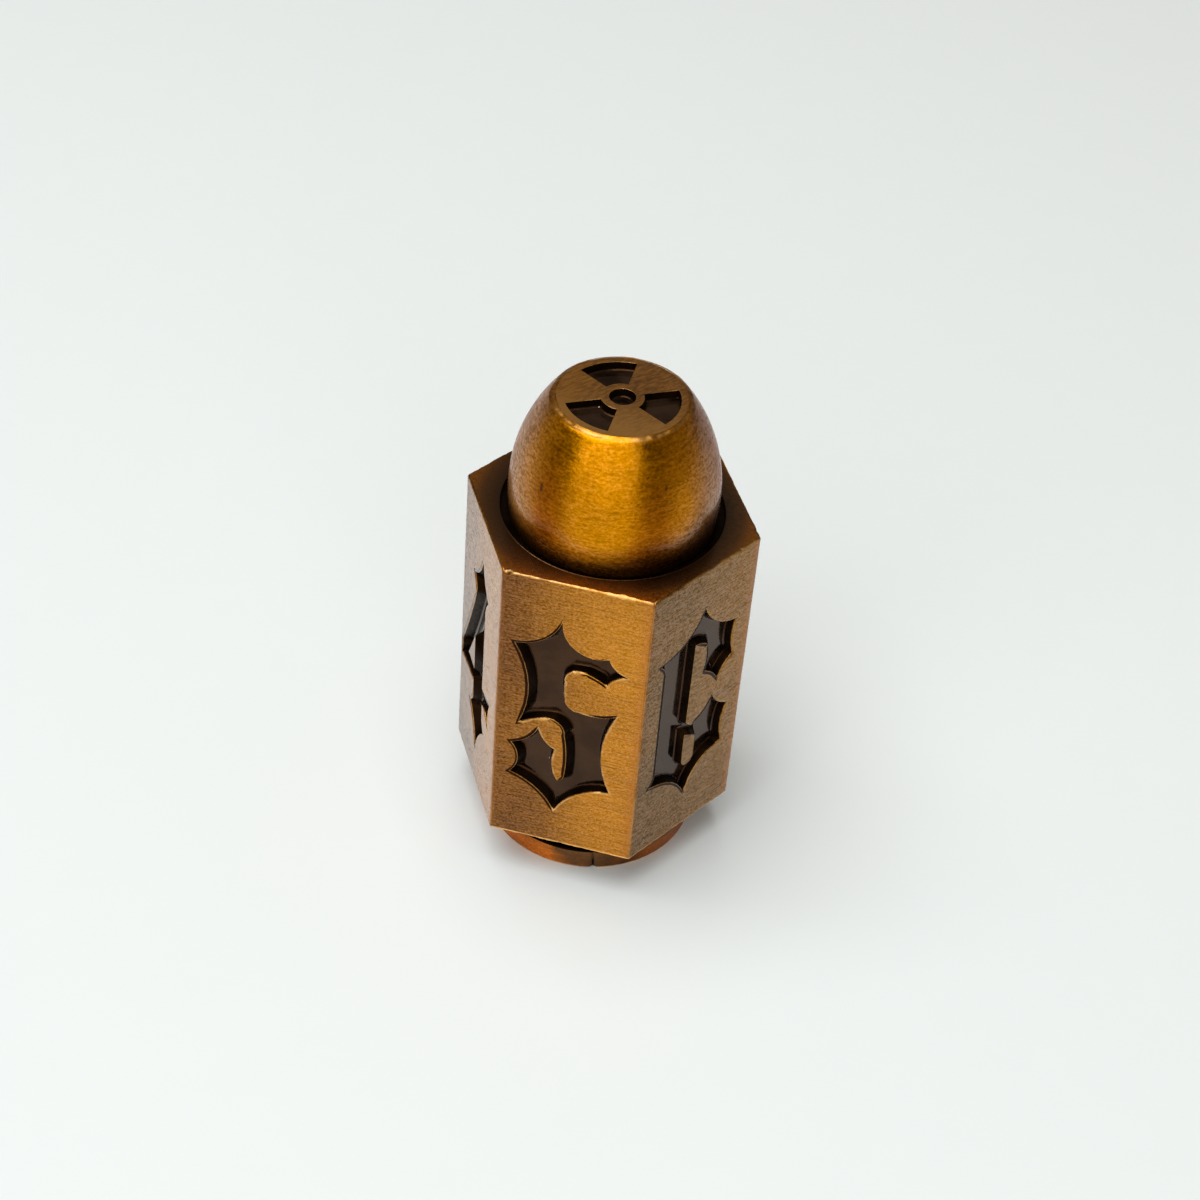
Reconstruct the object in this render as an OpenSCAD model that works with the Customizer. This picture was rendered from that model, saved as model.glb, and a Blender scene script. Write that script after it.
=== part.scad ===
// Six-sided barrel die in the form of a blunt round.
// A hexagonal barrel carries one sunk numeral on each side. A flat-tipped nose sits in a shallow
// seat on top, with a three-blade figure sunk into its tip. A grooved rim closes the foot.
// Every sunk figure holds a thin floor of dark enamel. The nose and the rim are held by plain tenons.
// Origin: centre of the rim's underside. +Z runs up the axis to the tip. The side with 5 faces -Y.

/* [Barrel] */
// Width across the flats of the hexagonal barrel
flats = 15; // [13:0.5:22]
// Height of the hexagonal barrel
barrel_h = 20.4; // [18:0.2:30]
// Narrowest land between the nose's seat and a side of the barrel
shoulder = 1.1; // [0.8:0.1:1.6]
// Depth of the seat that the nose stands in
seat_depth = 0.5; // [0.3:0.1:1]

/* [Numerals] */
// Least distance from a numeral to the barrel's upright edges
numeral_side_margin = 0.23; // [0.15:0.01:1]
// Least distance from a numeral's points to the barrel's ends
numeral_end_margin = 2.7; // [1.5:0.1:4]
// Depth of a numeral's pocket
numeral_depth = 0.9; // [0.5:0.05:1.2]
// Thickness of the enamel on a numeral's floor
numeral_enamel_t = 0.35; // [0.1:0.05:0.4]

/* [Nose] */
// Height of the nose above the barrel
nose_h = 7.7; // [6:0.1:10]
// Ring gap between the nose at its widest and the wall of its seat
nose_gap = 0.35; // [0.2:0.05:0.6]
// Height of the widest place of the nose above the barrel
nose_belly_z = 1.4; // [0.8:0.1:2]
// How much narrower the nose is at its tip than at its belly, on the radius
nose_taper = 2.2; // [1.6:0.1:2.4]
// Radius of the round between the tip's flat and the nose's side
tip_round = 0.25; // [0.1:0.05:0.4]

/* [Trefoil] */
// Margin between the blades and the tip's edge
trefoil_margin = 0.6; // [0.45:0.05:1]
// Radius of the round hole at the centre of the figure
trefoil_hub_r = 0.74; // [0.5:0.02:0.9]
// Width of the metal ring between the hole and the blades
trefoil_ring_w = 0.5; // [0.3:0.05:0.7]
// Depth of the pockets in the tip
trefoil_depth = 0.8; // [0.4:0.05:1.2]
// Thickness of the enamel on the floor of the pockets in the tip
trefoil_enamel_t = 0.3; // [0.1:0.05:0.35]

/* [Rim] */
// Thickness of the rim
rim_t = 1.5; // [1:0.1:2]
// How far the rim's edge lies inside the barrel's sides
rim_inset = 1.1; // [0.6:0.1:1.5]
// Height of the groove between the rim and the barrel
groove_h = 1.5; // [1:0.1:2.4]
// Depth of the groove
groove_depth = 1.1; // [0.6:0.1:1.4]
// Chamfer on the rim's two edges
rim_chamfer = 0.2; // [0.1:0.05:0.4]
// Outer radius of the shallow ring turned into the rim's underside
underside_ring_r = 2.6; // [2:0.1:3.4]
// Width of that ring
underside_ring_w = 0.4; // [0.2:0.05:0.8]
// Depth of that ring
underside_ring_depth = 0.3; // [0.1:0.05:0.5]

/* [Tenons] */
// Step between the rim's neck and its tenon, on the radius
tenon_step = 1.3; // [0.8:0.1:1.8]
// Length of the tenon under the nose
nose_tenon_l = 6; // [3:0.5:7]
// Length of the tenon above the rim
rim_tenon_l = 6; // [3:0.5:7]
// Clearance around a tenon, on the radius
tenon_gap = 0.02; // [0.01:0.01:0.05]
// Room left past a tenon's end
tenon_end_gap = 0.3; // [0.1:0.1:1]

/* [Hidden] */
$fn = 96;
cut = 0.5;        // how far a cutting solid reaches past the face that it opens
sides = 6;
arc_steps = 8;    // straight pieces in each arc of a numeral
metal = "#9c6b36";
nose_metal = "#ad7628";
rim_metal = "#a8653a";
enamel = "#2b2422";

// Barrel
side_angle = 360 / sides;
barrel_r = flats / 2 / cos(side_angle / 2);
side_w = 2 * barrel_r * sin(side_angle / 2);
barrel_z = rim_t + groove_h;
barrel_top = barrel_z + barrel_h;
seat_r = flats / 2 - shoulder;

// Nose: one arc makes the whole side, upright at the belly
nose_r = seat_r - nose_gap;
tip_r = nose_r - nose_taper;
belly_to_tip = nose_h - nose_belly_z;
ogive_r = (pow(nose_taper, 2) + pow(belly_to_tip, 2)) / (2 * nose_taper);
ogive_x = nose_r - ogive_r;
// Centre of the tip's round, which touches the arc from inside and the tip's flat from below
tip_round_z = nose_h - tip_round;
tip_round_x = ogive_x + sqrt(pow(ogive_r - tip_round, 2) - pow(tip_round_z - nose_belly_z, 2));
side_end_z = nose_belly_z + (tip_round_z - nose_belly_z) * ogive_r / (ogive_r - tip_round);
tip_z = barrel_top + nose_h;

// Trefoil
blades = 3;
blade_pitch = 360 / blades;
blade_angle = blade_pitch / 2;
blade_out_r = tip_r - trefoil_margin;
blade_in_r = trefoil_hub_r + trefoil_ring_w;

// Rim and tenons
rim_r = flats / 2 - rim_inset;
neck_r = rim_r - groove_depth;
tenon_r = neck_r - tenon_step;
socket_r = tenon_r + tenon_gap;

// Numerals are drawn on a field of this size, with the origin in its middle. Each point of an outline
// is [x, y, bow]: bow is how far the arc to the next point bulges to the right of the way there.
// Outlines run clockwise, so a bow reaches into the figure and leaves pointed cusps between arcs.
field_w = 8.2;
field_h = 15;

one = [
    [0.1, 7.3, 0.3], [1.75, 5.2, 0.1], [1.15, 4.2, 0], [1.15, -4.1, 0.1], [1.75, -5, 0.35],
    [-0.1, -7.5, 0.35], [-1.75, -5.1, 0.1], [-1.15, -4.1, 0], [-1.15, 2.9, 0.2],
    [-2.5, 2.2, 0.2], [-3.15, 4.3, 0.65],
];

two = [
    [-0.2, 7.2, 0.65], [3.2, 4.75, 0.12], [2.72, 3.9, 0], [2.72, 1.6, 0.25], [-0.35, -3.35, 0.55],
    [3.2, -2.3, 0.3], [3.1, -4.95, 0.8], [0.15, -7.5, 0.62], [-3.2, -4.95, 0.12],
    [-2.75, -4, 0.25], [0.42, 1.5, 0], [0.4, 4.8, 0.1], [-0.75, 4.25, 0.17], [-0.75, 2.15, 0.15],
    [-2, 0.8, 0.2], [-3.15, 2.1, 0.25], [-3.05, 4.85, 0.5],
];

three = [
    [-0.2, 7.2, 0.6], [3.1, 4.85, 0.3], [2.95, 1.2, 0.6], [2.95, -1, 0.35], [2.8, -4.95, 0.6],
    [-0.3, -7.5, 0.42], [-3.25, -5.05, 0.45], [-3.25, -2.65, 0.25], [-1.75, -1.3, 0.2],
    [-0.72, -2.55, 0.13], [-0.75, -4.3, 0.06], [-0.4, -4.95, 0.12], [0.05, -4.4, 0.1],
    [0.15, -1.6, 0.1], [-0.2, -0.75, 0.15], [-1.7, 0.15, 0.2], [0.1, 1.1, 0.05], [0.42, 1.7, 0],
    [0.4, 4.8, 0.1], [-0.75, 4.25, 0.17], [-0.75, 2.3, 0.15], [-2, 1, 0.2], [-3.15, 2.2, 0.25],
    [-3.05, 4.85, 0.5],
];

four = [
    [0.1, 7.3, 0.25], [1.5, 5.3, 0.1], [1, 4.3, 0], [1.05, -1.75, 0.15], [2.75, -1.6, 0.2],
    [2.55, -3.5, 0.25], [1.15, -3, 0], [1.15, -4.2, 0.1], [1.65, -5, 0.3], [-0.1, -7.5, 0.3],
    [-1.65, -5.1, 0.1], [-1.05, -4.2, 0], [-1.05, -3, 0.12], [-4.1, -3.35, 0.08],
    [-4, -2.2, 0.12], [-1.1, 4, 0.12], [-1.7, 5.05, 0.3],
];
four_counter = [[-1, 0.65, 0], [-0.95, -1.95, 0], [-2.4, -1.85, 0]];

five = [
    [-0.75, 7.3, 0.95], [2.05, 5.3, 0.2], [3.2, 4.3, 0.2], [2.05, 3.4, 0.05], [0.85, 3.95, 0.05],
    [0, 3.9, 0.15], [-0.42, 3, 0.05], [-0.35, 1.6, 0.2], [0.5, 0.78, 0.2], [2.75, 1.1, 0.7],
    [2.7, -5.05, 0.6], [-0.5, -7.5, 0.42], [-3.3, -5.05, 0.45], [-3.3, -2.65, 0.25],
    [-1.75, -1.15, 0.2], [-0.72, -2.55, 0.13], [-0.75, -4.3, 0.06], [-0.4, -4.95, 0.12],
    [0, -4.4, 0.12], [-0.15, -1.2, 0.28], [-1.05, -0.12, 0.15], [-2.95, -0.95, 0.72],
    [-3.4, 5.15, 0.55],
];

six = [
    [0.2, 7.2, 0.5], [3.05, 4.85, 0.25], [3.15, 2.1, 0.2], [2, 0.8, 0.15], [0.75, 2.15, 0.17],
    [0.75, 4.25, 0.1], [-0.38, 4.8, 0], [-0.42, -1.3, 0.06], [0.05, -1.75, 0.28],
    [1.75, -0.45, 0.2], [3.2, -1.9, 0.33], [3.1, -4.95, 0.8], [0.15, -7.5, 0.62],
    [-3.2, -4.95, 0.12], [-2.72, -4.1, 0], [-2.72, 3.9, 0.12], [-3.2, 4.75, 0.65],
];
six_counter = [
    [-0.45, -2.25, 0], [0.55, -2.85, 0], [0.6, -4.55, 0], [0.4, -4.9, 0], [0.1, -5, 0],
    [-0.25, -4.9, 0], [-0.42, -4.6, 0],
];

outlines = [one, two, three, four, five, six];
counters = [[], [], [], four_counter, [], six_counter];

// The numerals run in order round the barrel, and 5 faces -Y
front_numeral = 5;
function side_turn(n) = (n - front_numeral) * side_angle;

// Points from p up to, and without, q along the arc that p's bow gives
function arc(p, q) =
    let (
        a = [p.x, p.y],
        way = [q.x, q.y] - a,
        chord = norm(way),
        right = [way.y, -way.x] / chord,
        bow = p.z
    )
    bow == 0 ? [a] :
    let (
        r = (chord * chord / 4 + bow * bow) / (2 * bow),
        half = asin(chord / (2 * r))
    )
    [for (i = [0:arc_steps - 1])
        let (t = half * (2 * i / arc_steps - 1))
        a + way * (0.5 + r * sin(t) / chord) + right * (r * cos(t) - r + bow)];

// The whole outline, stretched from its field to the side of the barrel that it fills
function outline(points) =
    let (
        stretch_x = (side_w - 2 * numeral_side_margin) / field_w,
        stretch_y = (barrel_h - 2 * numeral_end_margin) / field_h,
        count = len(points)
    )
    [for (i = [0:count - 1], at = arc(points[i], points[(i + 1) % count]))
        [at.x * stretch_x, at.y * stretch_y]];

module numeral_shape(n) {
    difference() {
        polygon(outline(outlines[n - 1]));
        if (len(counters[n - 1]) > 0) polygon(outline(counters[n - 1]));
    }
}

// Places a flat figure on its side of the barrel, with its own +Z pointing out of that side
module on_side(n) {
    rotate([0, 0, side_turn(n)])
        translate([0, -flats / 2, barrel_z + barrel_h / 2])
            rotate([90, 0, 0])
                children();
}

module numeral_pocket(n) {
    on_side(n)
        translate([0, 0, -numeral_depth])
            linear_extrude(numeral_depth + cut)
                numeral_shape(n);
}

module numeral_enamel(n) {
    color(enamel)
        on_side(n)
            translate([0, 0, -numeral_depth])
                linear_extrude(numeral_enamel_t)
                    numeral_shape(n);
}

// A sector of a ring, centred on the angle of blade b, from height z upwards
module blade(b, z, h) {
    rotate([0, 0, (b - 1) * blade_pitch - blade_angle / 2])
        rotate_extrude(angle = blade_angle)
            translate([blade_in_r, z])
                square([blade_out_r - blade_in_r, h]);
}

module hub(z, h) {
    translate([0, 0, z])
        cylinder(r = trefoil_hub_r, h = h);
}

module blade_enamel(b) {
    color(enamel)
        blade(b, tip_z - trefoil_depth, trefoil_enamel_t);
}

module hub_enamel() {
    color(enamel)
        hub(tip_z - trefoil_depth, trefoil_enamel_t);
}

module hex_barrel() {
    color(metal)
        difference() {
            translate([0, 0, barrel_z])
                rotate([0, 0, side_angle])
                    cylinder(r = barrel_r, h = barrel_h, $fn = sides);
            for (n = [1:sides]) numeral_pocket(n);
            // Seat and socket of the nose
            translate([0, 0, barrel_top - seat_depth])
                cylinder(r = seat_r, h = seat_depth + cut);
            translate([0, 0, barrel_top - seat_depth - nose_tenon_l - tenon_end_gap])
                cylinder(r = socket_r, h = nose_tenon_l + tenon_end_gap + cut);
            // Socket of the rim
            translate([0, 0, barrel_z - cut])
                cylinder(r = socket_r, h = rim_tenon_l + tenon_end_gap + cut);
        }
}

// Half section of the nose above its seat, with the barrel's top as its zero
module nose_section() {
    intersection() {
        translate([ogive_x, nose_belly_z])
            circle(r = ogive_r);
        translate([0, -seat_depth])
            square([nose_r + cut, side_end_z + seat_depth]);
    }
    translate([0, -seat_depth])
        square([tip_round_x, nose_h + seat_depth]);
    translate([tip_round_x, tip_round_z])
        circle(r = tip_round);
}

module bullet_nose() {
    color(nose_metal)
        difference() {
            union() {
                translate([0, 0, barrel_top])
                    rotate_extrude()
                        nose_section();
                translate([0, 0, barrel_top - seat_depth - nose_tenon_l])
                    cylinder(r = tenon_r, h = nose_tenon_l);
            }
            for (b = [1:blades]) blade(b, tip_z - trefoil_depth, trefoil_depth + cut);
            hub(tip_z - trefoil_depth, trefoil_depth + cut);
        }
}

// Half section of the rim with its groove and tenon
module rim_section() {
    polygon([
        [0, 0],
        [rim_r - rim_chamfer, 0],
        [rim_r, rim_chamfer],
        [rim_r, rim_t - rim_chamfer],
        [rim_r - rim_chamfer, rim_t],
        [neck_r, rim_t],
        [neck_r, barrel_z],
        [tenon_r, barrel_z],
        [tenon_r, barrel_z + rim_tenon_l],
        [0, barrel_z + rim_tenon_l],
    ]);
}

module rim_base() {
    color(rim_metal)
        difference() {
            rotate_extrude()
                rim_section();
            translate([0, 0, -cut])
                difference() {
                    cylinder(r = underside_ring_r, h = underside_ring_depth + cut);
                    cylinder(r = underside_ring_r - underside_ring_w, h = underside_ring_depth + cut);
                }
        }
}

hex_barrel();
bullet_nose();
rim_base();
numeral_enamel(1);  // numeral_1_enamel
numeral_enamel(2);  // numeral_2_enamel
numeral_enamel(3);  // numeral_3_enamel
numeral_enamel(4);  // numeral_4_enamel
numeral_enamel(5);  // numeral_5_enamel
numeral_enamel(6);  // numeral_6_enamel
blade_enamel(1);  // trefoil_blade_1_enamel
blade_enamel(2);  // trefoil_blade_2_enamel
blade_enamel(3);  // trefoil_blade_3_enamel
hub_enamel();  // trefoil_hub_enamel
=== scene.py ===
"""Looks of a six-sided barrel die: brushed antique metal, enamelled numerals and a plain studio stage."""

import math

import bmesh
import bpy
import numpy as np
from bpy.props import FloatProperty, FloatVectorProperty, PointerProperty
from mathutils import Matrix, Vector, geometry, noise


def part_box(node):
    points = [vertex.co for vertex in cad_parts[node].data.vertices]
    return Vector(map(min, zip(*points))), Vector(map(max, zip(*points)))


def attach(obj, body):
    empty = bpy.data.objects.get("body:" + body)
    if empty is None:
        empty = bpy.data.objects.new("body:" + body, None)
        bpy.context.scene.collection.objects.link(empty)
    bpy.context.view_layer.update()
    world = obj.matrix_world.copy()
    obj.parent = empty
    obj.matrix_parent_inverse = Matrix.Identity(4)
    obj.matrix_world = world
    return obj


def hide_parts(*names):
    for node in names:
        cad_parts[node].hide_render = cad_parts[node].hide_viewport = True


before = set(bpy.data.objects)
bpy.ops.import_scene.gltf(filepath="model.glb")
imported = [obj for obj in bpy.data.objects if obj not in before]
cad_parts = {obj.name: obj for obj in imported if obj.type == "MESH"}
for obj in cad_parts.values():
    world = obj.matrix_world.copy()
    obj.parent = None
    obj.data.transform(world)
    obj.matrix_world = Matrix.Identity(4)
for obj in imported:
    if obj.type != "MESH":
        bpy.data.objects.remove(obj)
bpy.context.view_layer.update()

bl_info = {
    "name": "Barrel Die",
    "version": (1, 0, 0),
    "blender": (4, 5, 0),
    "location": "View3D > Sidebar > Barrel Die",
    "description": "Dresses a hexagonal barrel die in brushed metal and enamel on a plain stage",
    "category": "Object",
}

MM = 0.001
SIDES = 6
FRONT_NUMERAL = 5
NUMERALS = ["numeral_%d_enamel" % n for n in range(1, SIDES + 1)]
TREFOIL = ["trefoil_blade_%d_enamel" % n for n in (1, 2, 3)] + ["trefoil_hub_enamel"]


def node_box(node):
    """Lowest and highest corner of a solid of the frame, in millimetres."""
    return [(np.array(corner) / MM).tolist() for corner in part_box(node)]


BARREL_LOW, BARREL_HIGH = node_box("hex_barrel")
NOSE_LOW, NOSE_HIGH = node_box("bullet_nose")
_, RIM_HIGH = node_box("rim_base")
APOTHEM = BARREL_HIGH[1]
BARREL_FOOT = BARREL_LOW[2]
BARREL_TOP = BARREL_HIGH[2]
NOSE_FOOT = NOSE_LOW[2]
NOSE_R = NOSE_HIGH[0]
TIP_Z = NOSE_HIGH[2]
RIM_R = RIM_HIGH[0]
RIM_TOP = RIM_HIGH[2]
FULL_TURN = 2 * math.pi
SIDE_TURN = FULL_TURN / SIDES
HALF_TURN = SIDE_TURN / 2


# Settings


class DieSizes(bpy.types.PropertyGroup):
    """Finishing sizes of the pieces, in millimetres."""

    upright_round: FloatProperty(
        name="Upright edges", description="Radius of the barrel's six upright edges",
        default=0.2, min=0.05, max=0.22)
    end_round: FloatProperty(
        name="End edges", description="Radius of the edges at the barrel's two ends",
        default=0.11, min=0.05, max=0.25)
    edge_wobble: FloatProperty(
        name="Edge wear", description="How unevenly the barrel's edges are worn, as a share of their radius",
        default=0.55, min=0.0, max=0.9, subtype="FACTOR")
    lip_round: FloatProperty(
        name="Pocket lips", description="Radius of the lips of the sunk figures",
        default=0.13, min=0.02, max=0.2)
    # The crease's darkness is painted shade along the left edges
    crease_width: FloatProperty(
        name="Lip crease", description="Width of the dark crease along the left edges of the numerals",
        default=0.18, min=0.02, max=0.2)
    wall_lean: FloatProperty(
        name="Wall lean", description="How far the pocket walls lean inwards before they meet the enamel",
        default=0.12, min=0.0, max=0.2)
    meniscus: FloatProperty(
        name="Meniscus", description="How far the enamel creeps up the walls of its pocket",
        default=0.07, min=0.01, max=0.2)
    seat_r: FloatProperty(
        name="Seat radius", description="Radius of the seat that the nose stands in", default=6.4)
    seat_depth: FloatProperty(
        name="Seat depth", description="Depth of that seat below the barrel's top", default=0.5)
    socket_r: FloatProperty(
        name="Socket radius", description="Radius of the sockets that hold the tenons", default=4.02)
    socket_room: FloatProperty(
        name="Socket room", description="Room past the end of a tenon in its socket", default=0.3)
    belly_z: FloatProperty(
        name="Nose belly", description="Height of the nose's widest place above the barrel", default=1.4)
    nose_taper: FloatProperty(
        name="Nose taper", description="How much smaller the nose's radius is at its tip", default=2.2)
    tip_round: FloatProperty(
        name="Tip edge", description="Radius of the round at the nose's tip", default=0.4)
    tenon_r: FloatProperty(
        name="Tenon radius", description="Radius of the tenons under the nose and over the rim", default=4.0)
    rim_t: FloatProperty(
        name="Rim thickness", description="Thickness of the rim", default=1.5)
    groove_depth: FloatProperty(
        name="Groove depth", description="Depth of the groove over the rim", default=1.1)
    groove_round: FloatProperty(
        name="Groove round", description="Radius of the round at the foot of the groove", default=0.2)
    rim_round: FloatProperty(
        name="Rim edges", description="Radius of the rim's two edges", default=0.2)
    ring_r: FloatProperty(
        name="Underside ring", description="Outer radius of the ring turned into the underside", default=2.6)
    ring_w: FloatProperty(
        name="Underside ring width", description="Width of that ring", default=0.4)
    ring_depth: FloatProperty(
        name="Underside ring depth", description="Depth of that ring", default=0.3)
    seam_angle: FloatProperty(
        name="Seam", description="Where the casting seam crosses the rim, about the die's axis",
        default=math.radians(-72.5), subtype="ANGLE")
    seam_depth: FloatProperty(
        name="Seam depth", description="Depth of the casting seam", default=0.1)
    seam_width: FloatProperty(
        name="Seam width", description="Width of the casting seam", default=0.16)


COLOUR = {"subtype": "COLOR", "size": 3, "min": 0, "max": 1}


class DieColours(bpy.types.PropertyGroup):
    """Colours of the finishes, as linear light."""

    barrel_polish: FloatVectorProperty(
        name="Barrel, polished", description="Antique metal where the brush has cleared it",
        default=(0.6, 0.226, 0.005), **COLOUR)
    barrel_patina: FloatVectorProperty(
        name="Barrel, patina", description="Antique metal where the brown patina is left",
        default=(0.19, 0.06, 0.0), **COLOUR)
    # Painted shade: the duller, darker tone given only to the side to the right of the front
    right_side_shade: FloatVectorProperty(
        name="Barrel, right", description="Dull olive patina left on the side to the right of the front",
        default=(0.15, 0.1, 0.015), **COLOUR)
    edge_copper: FloatVectorProperty(
        name="Barrel, edges", description="Redder metal along the barrel's upright edges",
        default=(0.46, 0.15, 0.012), **COLOUR)
    # Also painted shade on the rim
    brown_patina_and_shade: FloatVectorProperty(
        name="Shoulder", description="Dark patina on the barrel's ends",
        default=(0.165, 0.073, 0.025), **COLOUR)
    nose_polish: FloatVectorProperty(
        name="Nose", description="Turned metal of the nose",
        default=(0.72, 0.262, 0.0), **COLOUR)
    # Also painted shade: the dark crease on left edges of the numerals and the darker foot of the nose
    orange_patina_and_shade: FloatVectorProperty(
        name="Nose, foot", description="Dark orange patina round the nose's foot",
        default=(0.1, 0.028, 0.002), **COLOUR)
    rim_polish: FloatVectorProperty(
        name="Rim", description="Turned metal of the rim",
        default=(0.78, 0.21, 0.02), **COLOUR)
    # Also the colour of painted highlights: the seat's glint, the brighter end edges, the foot's edge line
    # and the tip's front
    bare_metal_and_highlight: FloatVectorProperty(
        name="Worn edges", description="Bare metal on worn edges",
        default=(0.82, 0.45, 0.14), **COLOUR)
    # Also painted shade: black on the rim's top and in its groove
    enamel: FloatVectorProperty(
        name="Enamel", description="Dark enamel of the sunk figures",
        default=(0.006, 0.003, 0.0015), **COLOUR)
    enamel_gloss: FloatVectorProperty(
        name="Enamel gloss", description="Brown tint of the enamel's gloss",
        default=(0.8, 0.33, 0.115), **COLOUR)
    speck: FloatVectorProperty(
        name="Specks", description="Pale dust specks caught in the enamel",
        default=(0.5, 0.4, 0.27), **COLOUR)
    room: FloatVectorProperty(
        name="Room", description="Tint of the even light from all round",
        default=(1.0, 0.87, 0.7), **COLOUR)
    panels: FloatVectorProperty(
        name="Panels", description="Tint of the light panels",
        default=(0.94, 0.985, 1.0), **COLOUR)
    floor: FloatVectorProperty(
        name="Floor", description="Pale paper that the die stands on",
        default=(0.86, 0.875, 0.865), **COLOUR)
    # Painted reflection: the floor turns to this colour only as metal sees it
    dusk: FloatVectorProperty(
        name="Dusk", description="Colour of the studio's dim quarters, as metal sees them",
        default=(0.18, 0.0, 0.0), **COLOUR)


class DieStage(bpy.types.PropertyGroup):
    """Camera and lights."""

    lens: FloatProperty(
        name="Lens", description="Focal length of the camera", default=73.485, unit="CAMERA")
    azimuth: FloatProperty(
        name="Azimuth", description="Camera's turn about the die, from the side with 5",
        default=math.radians(11.61), subtype="ANGLE")
    elevation: FloatProperty(
        name="Elevation", description="Camera's height angle", default=math.radians(41.09), subtype="ANGLE")
    roll: FloatProperty(
        name="Roll", description="Camera's roll", default=math.radians(-4.88), subtype="ANGLE")
    camera_at: FloatVectorProperty(
        name="Camera place", description="Where the camera stands", default=(0.021583, -0.106454, 0.110938),
        subtype="TRANSLATION", unit="LENGTH", size=3)
    room: FloatProperty(
        name="Room light", description="Strength of the even light from all round", default=0.2)
    top_panel: FloatProperty(
        name="Top panel", description="Power of the panel overhead", default=2.44, unit="POWER")
    front_panel: FloatProperty(
        name="Front panel", description="Power of the panel behind the camera", default=1.6, unit="POWER")
    floor_size: FloatProperty(
        name="Floor size", description="Width of the floor", default=3.0, unit="LENGTH")


# Mesh tools


# Tolerances and spacings in millimetres, decimals kept when places are matched, and points in a ring
TINY = 1e-9
SAME_SPOT = 1e-6
SAME_POINT = 1e-5
CROSSING_SLACK = 1e-7
ROUND_PLACES = 4
FACE_SKIN = 0.01
BORDER_PITCH = 0.05
RING_COUNT = 144


class Shell:
    """Gathers points, faces and surface values in millimetres and turns them into one object."""

    def __init__(self):
        self.points = []
        self.worn = []
        self.sunk = []
        self.faces = []
        self.finish = []
        self.smooth = []

    def add(self, points, worn=0.0, sunk=0.0):
        """Adds points and returns their numbers. worn and sunk are the surface values there; worn also
        carries painted highlights and sunk also carries painted shade.
        """
        first = len(self.points)
        self.points.extend(tuple(float(c) for c in p) for p in points)
        self.worn.extend(np.broadcast_to(worn, len(points)).tolist())
        self.sunk.extend(np.broadcast_to(sunk, len(points)).tolist())
        return list(range(first, len(self.points)))

    def ring(self, r, z, worn=0.0, sunk=0.0):
        return self.add(spin(r, z), worn, sunk)

    def face(self, corners, finish=0, smooth=True):
        self.faces.append(tuple(corners))
        self.finish.append(finish)
        self.smooth.append(smooth)

    def bands(self, rows, finish=0, closed=True):
        """Four-sided faces between rows. Seen from outside, rows run to the right and follow upwards."""
        count = len(rows[0])
        for lower, upper in zip(rows, rows[1:]):
            for i in range(count if closed else count - 1):
                j = (i + 1) % count
                self.face((lower[i], lower[j], upper[j], upper[i]), finish)

    def cap(self, ring, centre, finish=0):
        """A fan from a ring to its centre. Seen from outside, the ring runs anticlockwise."""
        middle = self.add([centre])[0]
        for i in range(len(ring)):
            self.face((ring[i], ring[(i + 1) % len(ring)], middle), finish)

    def fill(self, loops, right, up, finish=0):
        """Triangles between numbered loops that lie on a plane with these two directions."""
        numbers = [i for loop in loops for i in loop]
        places = [(np.dot(self.points[i], right), np.dot(self.points[i], up)) for i in numbers]
        for a, b, c in triangles(places, loops_of(loops)):
            self.face((numbers[a], numbers[b], numbers[c]), finish, smooth=False)

    def build(self, name, materials, slot, *nodes):
        """Makes the object, puts it on the frame in place of its nodes and gives it its materials."""
        mesh = bpy.data.meshes.new(name)
        mesh.from_pydata([tuple(c * MM for c in p) for p in self.points], [], self.faces)
        for key, values in (("worn", self.worn), ("sunk", self.sunk)):
            mesh.attributes.new(key, "FLOAT", "POINT").data.foreach_set("value", values)
        mesh.polygons.foreach_set("material_index", self.finish)
        mesh.polygons.foreach_set("use_smooth", self.smooth)
        for material in materials:
            mesh.materials.append(material)
        tidy = bmesh.new()
        tidy.from_mesh(mesh)
        bmesh.ops.remove_doubles(tidy, verts=tidy.verts, dist=SAME_POINT * MM)
        tidy.to_mesh(mesh)
        tidy.free()
        mesh.validate()
        piece = bpy.data.objects.new(name, mesh)
        bpy.context.scene.collection.objects.link(piece)
        even = piece.modifiers.new("Flat faces stay flat", "WEIGHTED_NORMAL")
        even.mode = "FACE_AREA_WITH_ANGLE"
        even.keep_sharp = True
        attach(piece, "root")
        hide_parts(*nodes)


def loops_of(loops):
    """Edges of loops whose points are numbered one loop after the other."""
    edges, first = [], 0
    for loop in loops:
        count = len(loop)
        edges.extend((first + i, first + (i + 1) % count) for i in range(count))
        first += count
    return edges


def inside(places, points, edges):
    """Which places lie inside the closed loops that the edges draw, by the even-odd rule."""
    x, y = places[:, 0], places[:, 1]
    odd = np.zeros(len(places), bool)
    for a, b in edges:
        (ax, ay), (bx, by) = points[a], points[b]
        if ay == by:
            continue
        crosses = (ay > y) != (by > y)
        odd ^= crosses & (x < ax + (y - ay) * (bx - ax) / (by - ay))
    return odd


def triangles(points, edges, extra=()):
    """Triangles of the region inside closed loops, as triples of numbers of points and then of extra."""
    every = [Vector((float(x), float(y))) for x, y in list(points) + list(extra)]
    verts, _, faces, origin, _, _ = geometry.delaunay_2d_cdt(every, edges, [], 1, CROSSING_SLACK)
    crossings = [v[:] for v, o in zip(verts, origin) if not o]
    if crossings:
        raise ValueError("Outlines cross at %s" % crossings)
    number = [o[0] for o in origin]
    middles = np.array([np.mean([verts[i][:] for i in f], 0) for f in faces])
    keep = inside(middles, [tuple(p) for p in points], edges)
    return [tuple(number[i] for i in f) for f, k in zip(faces, keep) if k]


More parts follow.
